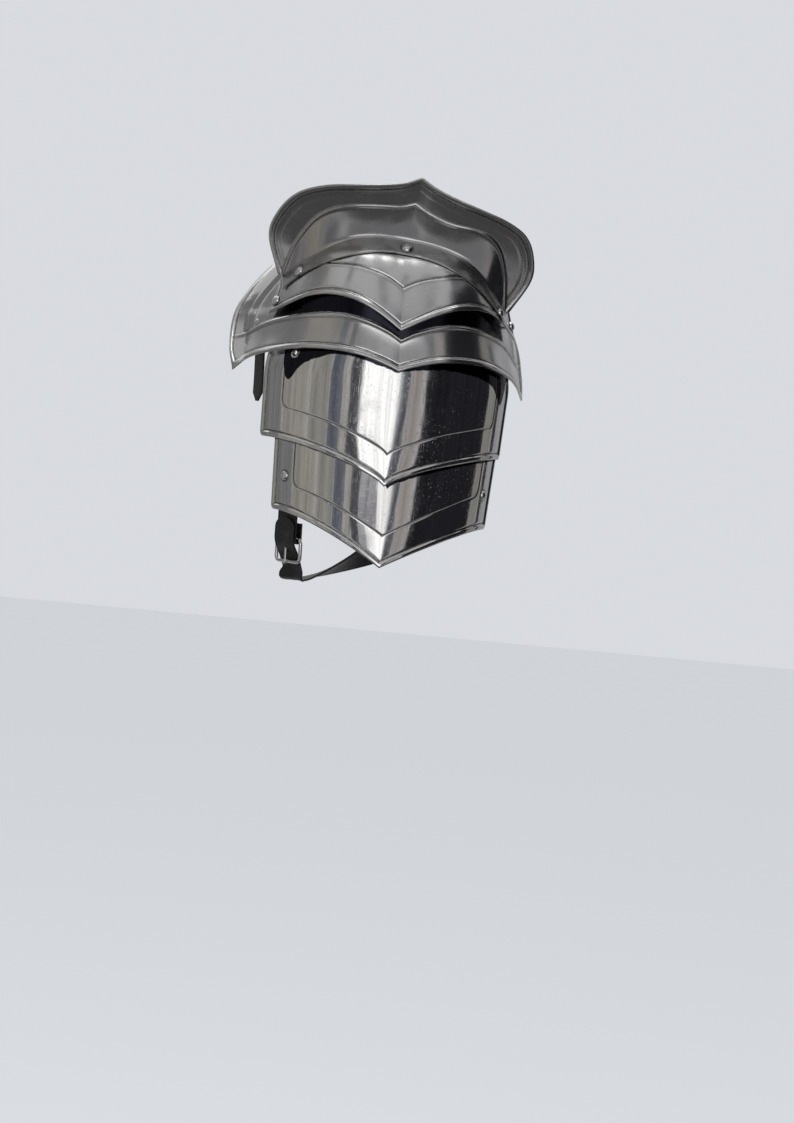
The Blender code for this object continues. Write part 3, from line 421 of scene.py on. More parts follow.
def rolledRim(fromEdge):
    # the height of a plate's rolled rim at a distance from its edge
    raised = 1 - smooth((fromEdge - rims["flatWidth"]) / (rims["width"] - rims["flatWidth"]))
    turned = rims["turned"] * (1 - smooth(fromEdge / rims["rounding"]))
    line = rims["underline"] * hump(fromEdge - rims["underlinePlace"], rims["underlineWidth"])
    return rims["height"] * (raised - turned) - line


# Cap

cap = {
    "halfWidth": 104 * mm, "neckHalfWidth": 95 * mm, "reach": 110 * mm, "neckBack": 12 * mm,
    "drop": 103.5 * mm, "creaseBack": 5 * mm, "archFall": 36 * mm, "edgeRise": 24.5 * mm, "flare": 4 * mm,
    "sideDepth": 79 * mm, "fullness": 0.8, "sideSlope": 3.0, "lineDepth": 0.75 * mm, "lineWidth": 1.0 * mm,
    "beadShare": 0.35, "beadPlace": 2 * mm, "beadWidth": 1.2 * mm, "rimFade": 8 * mm, "planBow": 3.2,
    "archBow": 2.6, "crownStation": 0.985,
}
capAcross = (0, 0.1, 0.27, 0.45, 0.6, 0.75, 0.88, 1)
capEdgeShare = splineThrough(capAcross, (0, 0.27, 0.67, 0.95, 1.02, 0.9, 0.6, 0.28))
capLineShare = splineThrough(capAcross, (1.51, 1.76, 2.0, 2.14, 2.16, 2.12, 2.04, 1.96))
capCusp = sheetThickness - cap["drop"]


def planDepth(s):
    return mix(s, s ** cap["planBow"], 0.9)


def roundTip(s, width=0.08):
    # the share from the middle, with the fold at the middle rounded off
    return np.where(s < width, s * s / (2 * width) + width / 2, s)


def creaseShift(a, back):
    return back * (1 - np.abs(a)) ** 2


def capEdge(s):
    return capCusp + cap["edgeRise"] * capEdgeShare(s)


def capLine(s):
    return capCusp + cap["edgeRise"] * capLineShare(s)


def capArch(s):
    return sheetThickness - cap["archFall"] * np.minimum(s, 1) ** cap["archBow"]


def capReach(s):
    return cap["neckBack"] + cap["reach"] - cap["sideDepth"] * planDepth(roundTip(s))


def capLean(s, z):
    s = roundTip(np.minimum(s, 1))
    rise = np.clip((z - capEdge(s)) / (capArch(s) - capEdge(s)), 0, 1)
    return capReach(s) * (1 - (1 - rise * rise) ** (cap["fullness"] / 2))


def capFace(a, v):
    s, lift = np.abs(a), np.sin(v * math.pi / 2)
    x = mix(cap["halfWidth"], cap["neckHalfWidth"], lift) * a - creaseShift(a, cap["creaseBack"])
    lag = (capEdge(roundTip(s)) - capEdge(s)) / (capArch(s) - capEdge(s)) * (1 - lift)
    y = cap["neckBack"] - capReach(s) * np.maximum(1 - np.clip(lift - lag, 0, 1) ** 2, 0) ** (cap["fullness"] / 2)
    return point(x, y, mix(capEdge(s), capArch(s), lift))


def capQuarter(s):
    return (capArch(s) - capEdge(s)) * math.pi / 2


def capLineAt(s):
    lift = (capLine(s) - capEdge(s)) / (capArch(s) - capEdge(s))
    return np.arcsin(np.clip(lift, 0, 0.98)) * 2 / math.pi


def capRelief(a, v):
    s = np.abs(a)
    line = capLineAt(s)
    below = np.clip(1 - v / line, 0, 1)
    side = (1 - s) * cap["halfWidth"] * cap["sideSlope"] + cap["rimFade"] * smooth((v / line - 0.5) / 0.4)
    fromEdge = softMin(v * capQuarter(s), side, rims["cornerRound"])
    fromLine = (v - line) * capQuarter(s)
    bead = cap["beadShare"] * hump(fromLine + cap["beadPlace"], cap["beadWidth"])
    pressed = cap["lineDepth"] * (hump(fromLine, cap["lineWidth"]) - bead)
    return cap["flare"] * below ** 2 + rolledRim(fromEdge) - pressed


def capAt(x, z):
    a = np.clip(x / cap["halfWidth"], -1, 1)
    for _ in range(14):
        s = np.abs(a)
        lift = np.clip((z - capEdge(s)) / (capArch(s) - capEdge(s)), 0, 0.995)
        half = mix(cap["halfWidth"], cap["neckHalfWidth"], lift)
        a = np.clip((x + creaseShift(a, cap["creaseBack"])) / half, -1, 1)
    return a, np.arcsin(lift) * 2 / math.pi


capColumns = mirroredColumns((0, 0.08, 14), (0.08, 0.965, 84), (0.965, 1, 22))
capUnit = 1 / capQuarter(np.abs(capColumns))
capMark = capLineAt(np.abs(capColumns))
capNear = 4 * mm * capUnit
capStations = ladder([0 * capUnit, rims["zone"] * capUnit, capMark - capNear, capMark + capNear,
                      0 * capUnit + cap["crownStation"]], [18, 18, 14, 50])
capPlate = sheetPlate("capLame", capFace, capRelief, capColumns, capStations, capSteel)
print("cap made")


# Haute-piece: a flange on the cap, a wall up to its ridge, and a lip that flares out to the rim

haute = {
    "halfLength": 113.5 * mm, "back": 2 * mm, "height": 53 * mm, "crease": 77 * mm, "lean": 12 * mm,
    "flare": 27 * mm, "tilt": math.radians(4), "clearance": 0.8 * mm, "hollow": 1.0 * mm,
    "ridgeHeight": 0.9 * mm, "ridgeWidth": 1.5 * mm, "fillet": 2.9 * mm, "acrossFillet": 5 * mm,
    "rimLines": (8.6 * mm, 11 * mm), "rimLineDepth": 0.22 * mm, "rimLineWidth": 1.3 * mm, "rimShare": 0.9,
    "lipHollow": 0.5, "pointHalf": 10 * mm, "pointFade": 14 * mm,
    "frontDrop": {"rim": (2.8 * mm, 0.62, 0.34), "ridge": (4.6 * mm, 0.3, 0.17)},  # drop, middle and spread
}
hauteAcross = (0, 0.12, 0.28, 0.45, 0.6, 0.75, 0.86, 0.94, 1)
hauteShape = curves(
    curveThrough, hauteAcross,
    flangeX=(0, 0.113, 0.252, 0.41, 0.557, 0.672, 0.74, 0.775, 0.795),
    flangeZ=(-0.226, -0.236, -0.283, -0.396, -0.547, -0.717, -0.86, -0.955, -1.04),
    creaseX=(0, 0.113, 0.243, 0.4, 0.535, 0.643, 0.725, 0.778, 0.812),
    creaseZ=(0, 0, -0.028, -0.113, -0.255, -0.453, -0.623, -0.76, -0.88),
    ridgeX=(0, 0.104, 0.261, 0.443, 0.583, 0.687, 0.755, 0.795, 0.828),
    ridgeZ=(0.594, 0.509, 0.462, 0.396, 0.302, 0.132, -0.132, -0.39, -0.8),
    rimX=(0, 0.122, 0.296, 0.504, 0.696, 0.87, 0.97, 0.995, 0.87),
    rimZ=(1, 0.872, 0.772, 0.7, 0.63, 0.47, 0.17, -0.22, -0.79),
    ridgeOut=(1, 1, 0.95, 0.85, 0.7, 0.5, 0.35, 0.25, 0.2),
    rimOut=(1, 1, 0.96, 0.84, 0.66, 0.42, 0.2, 0.05, 0))


def hauteOutline(a, station):
    s = np.abs(a)
    x = haute["halfLength"] * hauteShape[station + "X"](s) * np.where(a < 0, -1, 1)
    z = haute["height"] * hauteShape[station + "Z"](s)
    if station in haute["frontDrop"]:
        drop, middle, spread = haute["frontDrop"][station]
        z = z - drop * hump(a - middle, spread)
    c, d = math.cos(haute["tilt"]), math.sin(haute["tilt"])
    return x * c + z * d - haute["back"], z * c - x * d + capCusp + haute["crease"]


def hauteFlange(a, v):
    (lowX, lowZ), (highX, highZ) = hauteOutline(a, "flange"), hauteOutline(a, "crease")
    column, station = capAt(mix(lowX, highX, v), mix(lowZ, highZ, v))
    return skin(capFace, capRelief, column, station, haute["clearance"] + sheetThickness)


def hauteFace(a, v):
    a = np.clip(a, -1, 1)
    crease = hauteFlange(a, 1.0)
    (ridgeX, ridgeZ), (rimX, rimZ) = hauteOutline(a, "ridge"), hauteOutline(a, "rim")
    s = np.abs(a)
    ridge = point(ridgeX, crease[..., 1] - haute["lean"] * hauteShape["ridgeOut"](s), ridgeZ)
    rim = point(rimX, crease[..., 1] - haute["flare"] * hauteShape["rimOut"](s), rimZ)
    if v <= 1:
        return hauteFlange(a, v)
    return mix(crease, ridge, v - 1) if v <= 2 else mix(ridge, rim, v - 2)


def evenedAlong(rows, lengths, width):
    # evens out each column's corners, measured along the column, with both ends kept
    result = rows.copy()
    for c in range(rows.shape[1]):
        along = lengths[:, c]
        fade = np.minimum(np.minimum(along, along[-1] - along) / width, 1)
        result[:, c] = evened(rows[:, c], along, width, fade)
    return result


def evenedAcross(rows, width):
    # evens out folds across the columns; near the middle only the depth, so the points of the lines stay
    result = rows.copy()
    for r in range(rows.shape[0]):
        along = lengthAlong(rows[r])
        fade = np.clip(np.minimum(along, along[-1] - along) / (2 * width), 0.02, 1)
        away = smooth((np.abs(rows[r][:, 0] + haute["back"]) - haute["pointHalf"]) / haute["pointFade"])
        share = np.stack([away, np.ones_like(away), away], -1)
        result[r] = mix(rows[r], evened(rows[r], along, width, fade), share)
    return result


hauteColumns = mirroredColumns((0, 0.06, 12), (0.06, 0.9, 76), (0.9, 1, 18))
hauteLevels = np.concatenate([np.linspace(0, 1, 16), np.linspace(1, 2, 38)[1:], np.linspace(2, 3, 38)[1:]])
hauteBase = np.array([hauteFace(hauteColumns, v) for v in hauteLevels])
hauteAlong = lengthAlong(hauteBase)
hauteBase = evenedAcross(evenedAlong(hauteBase, hauteAlong, haute["fillet"]), haute["acrossFillet"])
hauteNormal = unit(np.cross(np.gradient(hauteBase, axis=1), np.gradient(hauteBase, axis=0)))
toRim = hauteAlong[-1] - hauteAlong
ridgeRow = int(np.argmin(np.abs(hauteLevels - 2)))
fromRidge = hauteAlong - hauteAlong[ridgeRow]
wallShare = np.clip(hauteLevels[:, None] - 1, 0, 1)
lipShare = np.clip(hauteLevels[:, None] - 2, 0, 1)
hollow = haute["hollow"] * (np.sin(math.pi * wallShare) + haute["lipHollow"] * np.sin(math.pi * lipShare))
hollow = hollow * hauteShape["ridgeOut"](np.abs(hauteColumns))
hauteRelief = haute["ridgeHeight"] * hump(fromRidge, haute["ridgeWidth"]) - hollow
hauteRelief += haute["rimShare"] * rolledRim(np.maximum(toRim, 0))
for line in haute["rimLines"]:
    hauteRelief -= haute["rimLineDepth"] * hump(toRim - line, haute["rimLineWidth"])
hauteRelief[hauteLevels < 1] = 0
hauteOuter = hauteBase + hauteNormal * hauteRelief[..., None]
hauteInner = hauteBase + hauteNormal * (hauteRelief - sheetThickness)[..., None]
hautePlate = plateShell("hautePiece", hauteOuter, hauteInner, hauteSteel, valleys(hauteOuter, hauteRelief),
                        0 * hauteRelief)
print("haute-piece made")


# Wide lame with its two wings

wide = {
    "reveal": 33.5 * mm, "halfWidth": 130 * mm, "creaseBack": 3 * mm, "height": 82 * mm, "flare": 5 * mm,
    "sideClearance": 1.1 * mm, "noseClearance": 2.8 * mm, "wingCrease": 0.9, "sideFlare": 2.2,
    "ridgeHeight": 1.3 * mm, "ridgeWidth": 1.5 * mm, "wingGroove": 0.35 * mm, "grooveIn": 3.2 * mm,
    "sideSlope": 1.7, "flareStart": 0.3, "sideFade": 0.07, "ridgeFade": 3 * mm, "grooveWidth": 0.8 * mm,
    "rearRise": 0.12, "rearRiseWidth": 0.07, "shadeStart": 1.2 * mm, "shadeFade": 2.2 * mm, "shadeEnd": 0.75,
    "shadeEndFade": 0.045,
}
wideAcross = (0, 0.09, 0.25, 0.42, 0.59, 0.75, 0.83, 0.9, 0.95, 1)
wideShape = curves(
    curveThrough, wideAcross,
    edge=(0, 0.055, 0.126, 0.152, 0.14, 0.085, 0.043, -0.018, -0.073, -0.122),
    ridge=(0.317, 0.396, 0.482, 0.518, 0.5, 0.439, 0.378, 0.293, 0.256, 0.244),
    top=(0.72, 0.74, 0.78, 0.78, 0.76, 0.76, 0.78, 0.84, 0.97, 1.06))
wingHeights = (-0.12, 0.07, 0.29, 0.55, 0.78, 1, 1.15)
wingShape = curves(
    splineThrough, wingHeights,
    rear=(0.986, 1.03, 1.03, 1.0, 0.92, 0.815, 0.73),
    front=(0.915, 0.95, 0.962, 0.93, 0.865, 0.79, 0.73),
    back=(1.2, 1.36, 1.55, 1.72, 1.83, 1.885, 1.885))
wideCusp = capCusp - wide["reveal"]


def wideHeight(name, s):
    return wideCusp + wide["height"] * wideShape[name](s)


def wideFace(a, z):
    s = np.abs(a)
    height = (z - wideCusp) / wide["height"]
    outline = wide["halfWidth"] * np.where(a < 0, wingShape["rear"](height), wingShape["front"](height))
    widen = 1 + wide["sideFlare"] * np.maximum(capEdge(1) + wide["flareStart"] * cap["edgeRise"] - z, 0)
    share = np.minimum(s * outline / cap["halfWidth"], 1)
    lift = np.clip((z - capEdge(share)) / (capArch(share) - capEdge(share)), 0, 1)
    half = (mix(cap["halfWidth"], cap["neckHalfWidth"], lift) - sheetThickness - wide["sideClearance"]) * widen
    crease = wide["wingCrease"] * outline / half
    along = np.minimum(s * outline / half, crease)
    reach = cap["reach"] - sheetThickness - wide["noseClearance"]
    y = cap["sideDepth"] * planDepth(roundTip(along)) - reach + capLean(along, z)
    wing = np.clip((s - wide["wingCrease"]) / (1 - wide["wingCrease"]), 0, 1.1)
    y = mix(y, cap["sideDepth"] * wingShape["back"](height) - reach, wing)
    return point(s * outline * np.where(a < 0, -1, 1) - creaseShift(a, wide["creaseBack"]), y, z)


def wideRelief(a, z):
    s = np.abs(a)
    edge, ridge = wideHeight("edge", s), wideHeight("ridge", s)
    below = np.clip((ridge - z) / (ridge - edge), 0, 1)
    above = smooth((z - ridge) / wide["ridgeFade"])
    fromEdge = softMin(z - edge, (1 - s) * wide["halfWidth"] * wide["sideSlope"], rims["cornerRound"])
    fromCrease = (s - wide["wingCrease"]) * wide["halfWidth"]
    crease = hump(fromCrease, wide["ridgeWidth"]) * above
    raised = np.maximum(hump(z - ridge, wide["ridgeWidth"]) * smooth((1 - s) / wide["sideFade"]), crease)
    groove = wide["wingGroove"] * hump(fromCrease + wide["grooveIn"], wide["grooveWidth"]) * above
    return wide["flare"] * below ** 1.5 + rolledRim(fromEdge) + wide["ridgeHeight"] * raised - groove


wideColumns = mirroredColumns((0, 0.06, 12), (0.06, 0.86, 80), (0.86, 0.94, 18), (0.94, 1, 20))
wideEdge, wideRidge, wideTop = (wideHeight(name, np.abs(wideColumns)) for name in ("edge", "ridge", "top"))
wideTop = wideTop + wide["rearRise"] * wide["height"] * hump(wideColumns + wide["wingCrease"],
                                                             wide["rearRiseWidth"])
wideStations = ladder([wideEdge, wideEdge + rims["zone"], wideRidge - 6 * mm, wideRidge + 6 * mm, wideTop],
                      [18, 16, 20, 26])


def wideShade(a, z):
    # painted shade: dark where the cap lies over the plate, for its shadow and the dark reflection of its underside
    s = np.abs(a)
    shadeMask = smooth((z - wideHeight("ridge", s) - wide["shadeStart"]) / wide["shadeFade"])
    return shadeMask * (1 - smooth((s - wide["shadeEnd"]) / wide["shadeEndFade"]))


widePlate = sheetPlate("wideLame", wideFace, wideRelief, wideColumns, wideStations, wideSteel, wideShade)
print("wide lame made")


# Arm lames

arm = {"wrap": math.radians(68), "arcShare": 1.28, "keel": 2 * mm, "keelShare": 1 / 3, "foldWidth": 0.11,
       "edgeFold": 0.012, "foldRise": 0.75, "lean": 0.05, "lineFromSide": 28 * mm, "lineAboveEdge": 27 * mm,
       "lineDepth": 0.5 * mm, "lineWidth": 0.62 * mm, "cornerRadius": 8 * mm, "panelStep": 0.14 * mm,
       "stepFade": 3 * mm, "prow": 1.3 * mm, "prowShare": 1 / 4, "corner": 4.5 * mm, "ringHeight": 0.35 * mm,
       "ringWidth": 1.1 * mm, "shadowFade": 4 * mm, "shadeShare": 0.89, "shadeFade": 2 * mm}
upper = {"tip": wideCusp - 96.5 * mm, "height": 118 * mm, "halfWidth": 103 * mm, "reach": 97 * mm, "depth": 66 * mm,
         "rise": 33 * mm, "power": 0.75, "widen": 0.035, "tuck": 7 * mm, "tuckLength": 32 * mm,
         "forward": 0.0, "creaseBack": 4 * mm, "skew": 0.0}
lower = {"tip": upper["tip"] - 68 * mm, "height": 124 * mm, "halfWidth": 91 * mm, "reach": 89 * mm, "depth": 61 * mm,
         "rise": 40 * mm, "power": 0.95, "widen": 0.05, "tuck": 0.0, "tuckLength": 32 * mm,
         "forward": 5 * mm, "creaseBack": 5 * mm, "skew": 4.5 * mm}
eyelet = {"across": -0.72, "rise": 105 * mm, "ring": 3.9 * mm, "hole": 1.6 * mm, "dish": 0.7 * mm, "shine": 0.75,
          "shineWidth": 1 * mm}


def armFace(lame):
    def face(a, z):
        turn = a * arm["wrap"]
        up = z - lame["tip"]
        tucked = lame["tuck"] * np.clip((up - lame["height"]) / lame["tuckLength"] + 1, 0, 1.2) ** 2
        half = lame["halfWidth"] + lame["widen"] * up - tucked
        x = half * np.sin(turn) / math.sin(arm["wrap"]) + lame["forward"] - creaseShift(a, lame["creaseBack"])
        back = (1 - np.cos(turn)) / (1 - math.cos(arm["wrap"]))
        # the fold is round at the top and sharp at the bottom edge
        width = mix(arm["edgeFold"], arm["foldWidth"], smooth(up / (arm["foldRise"] * lame["height"])))
        fold = roundTip(np.abs(a), width)
        keel = arm["keel"] * np.maximum(1 - fold / arm["keelShare"], 0) ** 2
        return point(x, lame["depth"] * back - lame["reach"] - arm["lean"] * up - keel, z)
    return face


def armEdge(lame, a):
    return lame["tip"] + lame["rise"] * np.sin(np.minimum(np.abs(a), 1) * math.pi / 2) ** lame["power"]


def armLine(lame, a):
    return armEdge(lame, a) + arm["lineAboveEdge"] + lame["skew"] * a


def insideCorner(fromSide, fromEdge, radius):
    # distance from an outline whose corner is rounded
    away = np.hypot(np.maximum(radius - fromSide, 0), np.maximum(radius - fromEdge, 0))
    return np.where((fromSide < radius) & (fromEdge < radius), radius - away, np.minimum(fromSide, fromEdge))


def cornerLift(fromSide, radius):
    over = np.clip(radius - fromSide, 0, radius)
    return radius - np.sqrt(radius ** 2 - over ** 2)


def armRelief(lame, marks=()):
    def relief(a, z):
        s, arc = np.abs(a), lame["halfWidth"] * arm["arcShare"]
        fromEdge = np.maximum(insideCorner((1 - s) * arc, z - armEdge(lame, a), arm["corner"]), 0)
        fromSide = (1 - s) * arc - arm["lineFromSide"]
        inside = softMin(z - armLine(lame, a), fromSide, arm["cornerRadius"])
        step = arm["panelStep"] * smooth(inside / arm["stepFade"] + 0.5)
        pressed = arm["lineDepth"] * hump(inside, arm["lineWidth"]) - step
        down = np.clip((armLine(lame, a) - z) / arm["lineAboveEdge"], 0, 1)
        prow = arm["prow"] * down * np.maximum(1 - s / arm["prowShare"], 0)
        lift = rolledRim(fromEdge) - pressed + prow
        for across, up, ring, dish in marks:
            away = np.hypot((a - across) * arc, z - up)
            lift = lift + arm["ringHeight"] * hump(away - ring, arm["ringWidth"]) - dish * (1 - smooth(away / ring))
        return lift
    return relief


upperShadow = curveThrough(  # millimetres below the wide lame's edge, from rear to front
    (-1, -0.83, -0.8, -0.76, -0.72, -0.66, -0.56, -0.42, 0, 0.2, 0.45, 0.7, 0.8, 0.87, 0.93, 1),
    (-4, -4, 14, 25, 24, 15, 8, 2, 1, 3, 7, 13, 22, 25, 6, 0))


def upperShade(a, z):
    # painted shade: the dark reflection of the wide lame's underside, with a painted highlight round the eyelet
    along = np.clip(np.abs(a) * upper["halfWidth"] / wide["halfWidth"], 0, 1)
    below = wideHeight("edge", along) - z
    fromEyelet = (a - eyelet["across"]) * upper["halfWidth"] * arm["arcShare"]
    away = np.hypot(fromEyelet, z - upper["tip"] - eyelet["rise"])
    dark = 1 - smooth((below - upperShadow(a) * mm) / arm["shadowFade"] + 0.5)
    return dark * (1 - eyelet["shine"] * hump(away - eyelet["ring"], eyelet["shineWidth"]))


def lowerShade(a, z):
    # painted shade: dark under the upper lame and in a thin band of shadow just below its edge
    return 1 - smooth((armEdge(upper, a * arm["shadeShare"]) - z) / arm["shadeFade"])


def armPlate(name, lame, relief, paintedShadeOf):
    arc = lame["halfWidth"] * arm["arcShare"]
    line, near = 1 - arm["lineFromSide"] / arc, 4 * mm / arc
    columns = mirroredColumns((0, 0.05, 10), (0.05, line - near, 84), (line - near, line + near, 14),
                              (line + near, 1 - 2 * near, 14), (1 - 2 * near, 1, 20))
    edge, mark = armEdge(lame, columns), armLine(lame, columns)
    edge = edge + cornerLift((1 - np.abs(columns)) * arc, arm["corner"])
    top = 0 * columns + lame["tip"] + lame["height"]
    stations = ladder([edge, edge + rims["zone"], mark - 5 * mm, mark + 5 * mm, top], [18, 16, 20, 62])
    return sheetPlate(name, armFace(lame), relief, columns, stations, armSteel, paintedShadeOf)


upperFace, lowerFace = armFace(upper), armFace(lower)
eyeletMark = (eyelet["across"], upper["tip"] + eyelet["rise"], eyelet["ring"], eyelet["dish"])
upperRelief, lowerRelief = armRelief(upper, [eyeletMark]), armRelief(lower)
upperPlate = armPlate("upperArmLame", upper, upperRelief, upperShade)


def pierceHole(plate, place, axis, radius, sides=24):
    turn = np.arange(sides) * 2 * math.pi / sides
    first = unit(np.cross(axis, (0, 0, 1)))
    circle = radius * (first * np.cos(turn)[:, None] + np.cross(axis, first) * np.sin(turn)[:, None])
    verts = np.concatenate([place + circle - axis * 4 * mm, place + circle + axis * 4 * mm])
    faces = [(k, (k + 1) % sides, (k + 1) % sides + sides, k + sides) for k in range(sides)]
    faces += [tuple(range(sides)), tuple(range(2 * sides - 1, sides - 1, -1))]
    punch = addMesh("punch", verts, faces, armSteel)
    cut = plate.modifiers.new("punched", "BOOLEAN")
    cut.operation, cut.solver, cut.object = "DIFFERENCE", "EXACT", punch
    settle(plate)
    bpy.data.objects.remove(punch)


pierceHole(upperPlate, at(upperFace, *eyeletMark[:2]), outOf(upperFace, *eyeletMark[:2]), eyelet["hole"])
lowerPlate = armPlate("lowerArmLame", lower, lowerRelief, lowerShade)
print("arm lames made")


# Rivets

def treeFor(name, inputs):
    tree = bpy.data.node_groups.new(name, "GeometryNodeTree")
    tree.interface.new_socket("Geometry", in_out="INPUT", socket_type="NodeSocketGeometry")
    tree.interface.new_socket("Geometry", in_out="OUTPUT", socket_type="NodeSocketGeometry")
    for label, kind, value in inputs:
        socket = tree.interface.new_socket(label, in_out="INPUT", socket_type=kind)
        if value is not None:
            socket.default_value = value
    return tree, tree.nodes.new("NodeGroupInput").outputs, tree.nodes.new("NodeGroupOutput").inputs


def named(tree, label, kind):
    return addNode(tree, "GeometryNodeInputNamedAttribute", {"Name": label}, data_type=kind).outputs[0]


def copiesOf(tree, given, shape, chosen=None):
    # one copy of the shape on each chosen point, turned to the point's axis and scaled to its size
    axis = {"Vector": named(tree, "axis", "FLOAT_VECTOR")}
    turn = addNode(tree, "FunctionNodeAlignRotationToVector", axis, axis="Z")
    values = {"Points": given["Geometry"], "Instance": shape, "Rotation": turn.outputs[0],
              "Scale": named(tree, "size", "FLOAT_VECTOR")}
    if chosen:
        values["Selection"] = chosen
    return addNode(tree, "GeometryNodeInstanceOnPoints", values).outputs[0]


def finishTree(tree, given, made, geometry):
    real = addNode(tree, "GeometryNodeRealizeInstances", {"Geometry": geometry})
    coat = addNode(tree, "GeometryNodeSetMaterial", {"Geometry": real.outputs[0], "Material": given["Material"]})
    tree.links.new(coat.outputs[0], made["Geometry"])
    return tree


def rivetTree():
    # points carry axis, size and kind; kind 0 is a domed head or flat tail, kind 1 a shank
    tree, given, made = treeFor("rivets", [
        ("Sides", "NodeSocketInt", 28), ("Rings", "NodeSocketInt", 14), ("Underside", "NodeSocketFloat", 0.12),
        ("Material", "NodeSocketMaterial", None)])
    ballSizes = {"Segments": given["Sides"], "Rings": given["Rings"], "Radius": 1.0}
    ball = addNode(tree, "GeometryNodeMeshUVSphere", ballSizes)
    place = addNode(tree, "ShaderNodeSeparateXYZ", {0: addNode(tree, "GeometryNodeInputPosition").outputs[0]})
    under = maths(tree, "LESS_THAN", place.outputs["Z"], 0.0)
    less = maths(tree, "SUBTRACT", given["Underside"], 1.0)
    flatter = maths(tree, "ADD", maths(tree, "MULTIPLY", under, less), 1.0)
    squashed = addNode(tree, "ShaderNodeCombineXYZ", {
        "X": place.outputs["X"], "Y": place.outputs["Y"], "Z": maths(tree, "MULTIPLY", place.outputs["Z"], flatter)})
    ballPlaces = {"Geometry": ball.outputs["Mesh"], "Position": squashed.outputs[0]}
    dome = addNode(tree, "GeometryNodeSetPosition", ballPlaces)
    rod = addNode(tree, "GeometryNodeMeshCylinder", {"Vertices": given["Sides"], "Radius": 1.0, "Depth": 1.0})
    kind = {2: named(tree, "kind", "INT"), 3: 1}
    isShank = addNode(tree, "FunctionNodeCompare", kind, data_type="INT", operation="EQUAL")
    isHead = addNode(tree, "FunctionNodeBooleanMath", {0: isShank.outputs[0]}, operation="NOT")
    parts = addNode(tree, "GeometryNodeJoinGeometry")
    for chosen, shape in ((isHead, dome.outputs[0]), (isShank, rod.outputs["Mesh"])):
        tree.links.new(copiesOf(tree, given, shape, chosen.outputs[0]), parts.inputs[0])
    return finishTree(tree, given, made, parts.outputs[0])


def markedPoints(name, rows):
    mesh = bpy.data.meshes.new(name)
    mesh.from_pydata([row[0] for row in rows], [], [])
    mesh.attributes.new("axis", "FLOAT_VECTOR", "POINT").data.foreach_set("vector", np.ravel([r[1] for r in rows]))
    mesh.attributes.new("size", "FLOAT_VECTOR", "POINT").data.foreach_set("vector", np.ravel([r[2] for r in rows]))
    mesh.attributes.new("kind", "INT", "POINT").data.foreach_set("value", [r[3] for r in rows])
    thing = bpy.data.objects.new(name, mesh)
    bpy.context.scene.collection.objects.link(thing)
    return thing


def runTree(thing, tree, values):
    modifier = thing.modifiers.new(tree.name, "NODES")
    modifier.node_group = tree
    for item in tree.interface.items_tree:
        if item.item_type == "SOCKET" and item.in_out == "INPUT" and item.name in values:
            modifier[item.identifier] = values[item.name]
    return settle(thing, 60)


rivets = {"head": 4.3 * mm, "dome": 3 * mm, "largeHead": 4.9 * mm, "largeDome": 3.2 * mm, "flatHead": 3 * mm,
          "flatDome": 0.9 * mm, "shank": 1.4 * mm, "tail": 2.6 * mm, "tailHeight": 1 * mm, "hauteRear": 0.84,
          "hauteFront": 0.92, "hauteStation": 0.45, "pivotFromSide": 7.5 * mm, "pivotAboveEdge": 10 * mm,
          "upperShare": 0.88, "upperDrop": 8 * mm, "lowerShare": 0.85, "lowerRise": 69 * mm, "hangingShare": 0.86,
          "hangingRise": 6 * mm, "hangingSink": 0.95 * mm, "tailSeat": 0.9, "shankInset": 1 * mm, "shadeRing": 1.04,
          "shadeRingWidth": 0.75 * mm, "shadeReach": 5 * mm}


def nodePoints(node):
    return np.array([v.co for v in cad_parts[node].data.vertices], float)


def rivetRows(node, place, axis, head, dome, sink=0.0):
    # head, tail and shank, between the ends of the rivet's solid
    reach = (nodePoints(node) - place) @ axis
    low, high = reach.min(), reach.max() - sink
    tail, height, shank = rivets["tail"], rivets["tailHeight"], rivets["shank"]
    length = high - dome - low - rivets["shankInset"]
    return [(place + axis * (high - dome), axis, (head, head, dome), 0),
            (place + axis * (low + height * rivets["tailSeat"]), -axis, (tail, tail, height), 0),
            (place + axis * (low + high - dome) / 2, axis, (shank, shank, length), 1)]


def onArm(face, relief, a, z):
    # the spot on the plate, and the way its plain curve faces
    a, z = np.array(float(a)), np.array(float(z))
    return skin(face, relief, a, z), facing(face, a, z)


def onSkin(face, relief, a, v):
    # the spot on the plate, and the way its outer skin faces there, relief and all
    a, v = np.array(float(a)), np.array(float(v))
    return skin(face, relief, a, v), skinFacing(face, relief, a, v)


def pivotSpot(side):
    a = side * (1 - rivets["pivotFromSide"] / (cap["halfWidth"] * cap["sideSlope"]))
    return onSkin(capFace, capRelief, a, rivets["pivotAboveEdge"] / capQuarter(abs(a)))


def hauteSpot(a, v):
    # the haute-piece's face takes one station at a time
    return np.vectorize(lambda p, q: hauteFace(np.array(p), q), signature="(),()->(n)")(a, v)


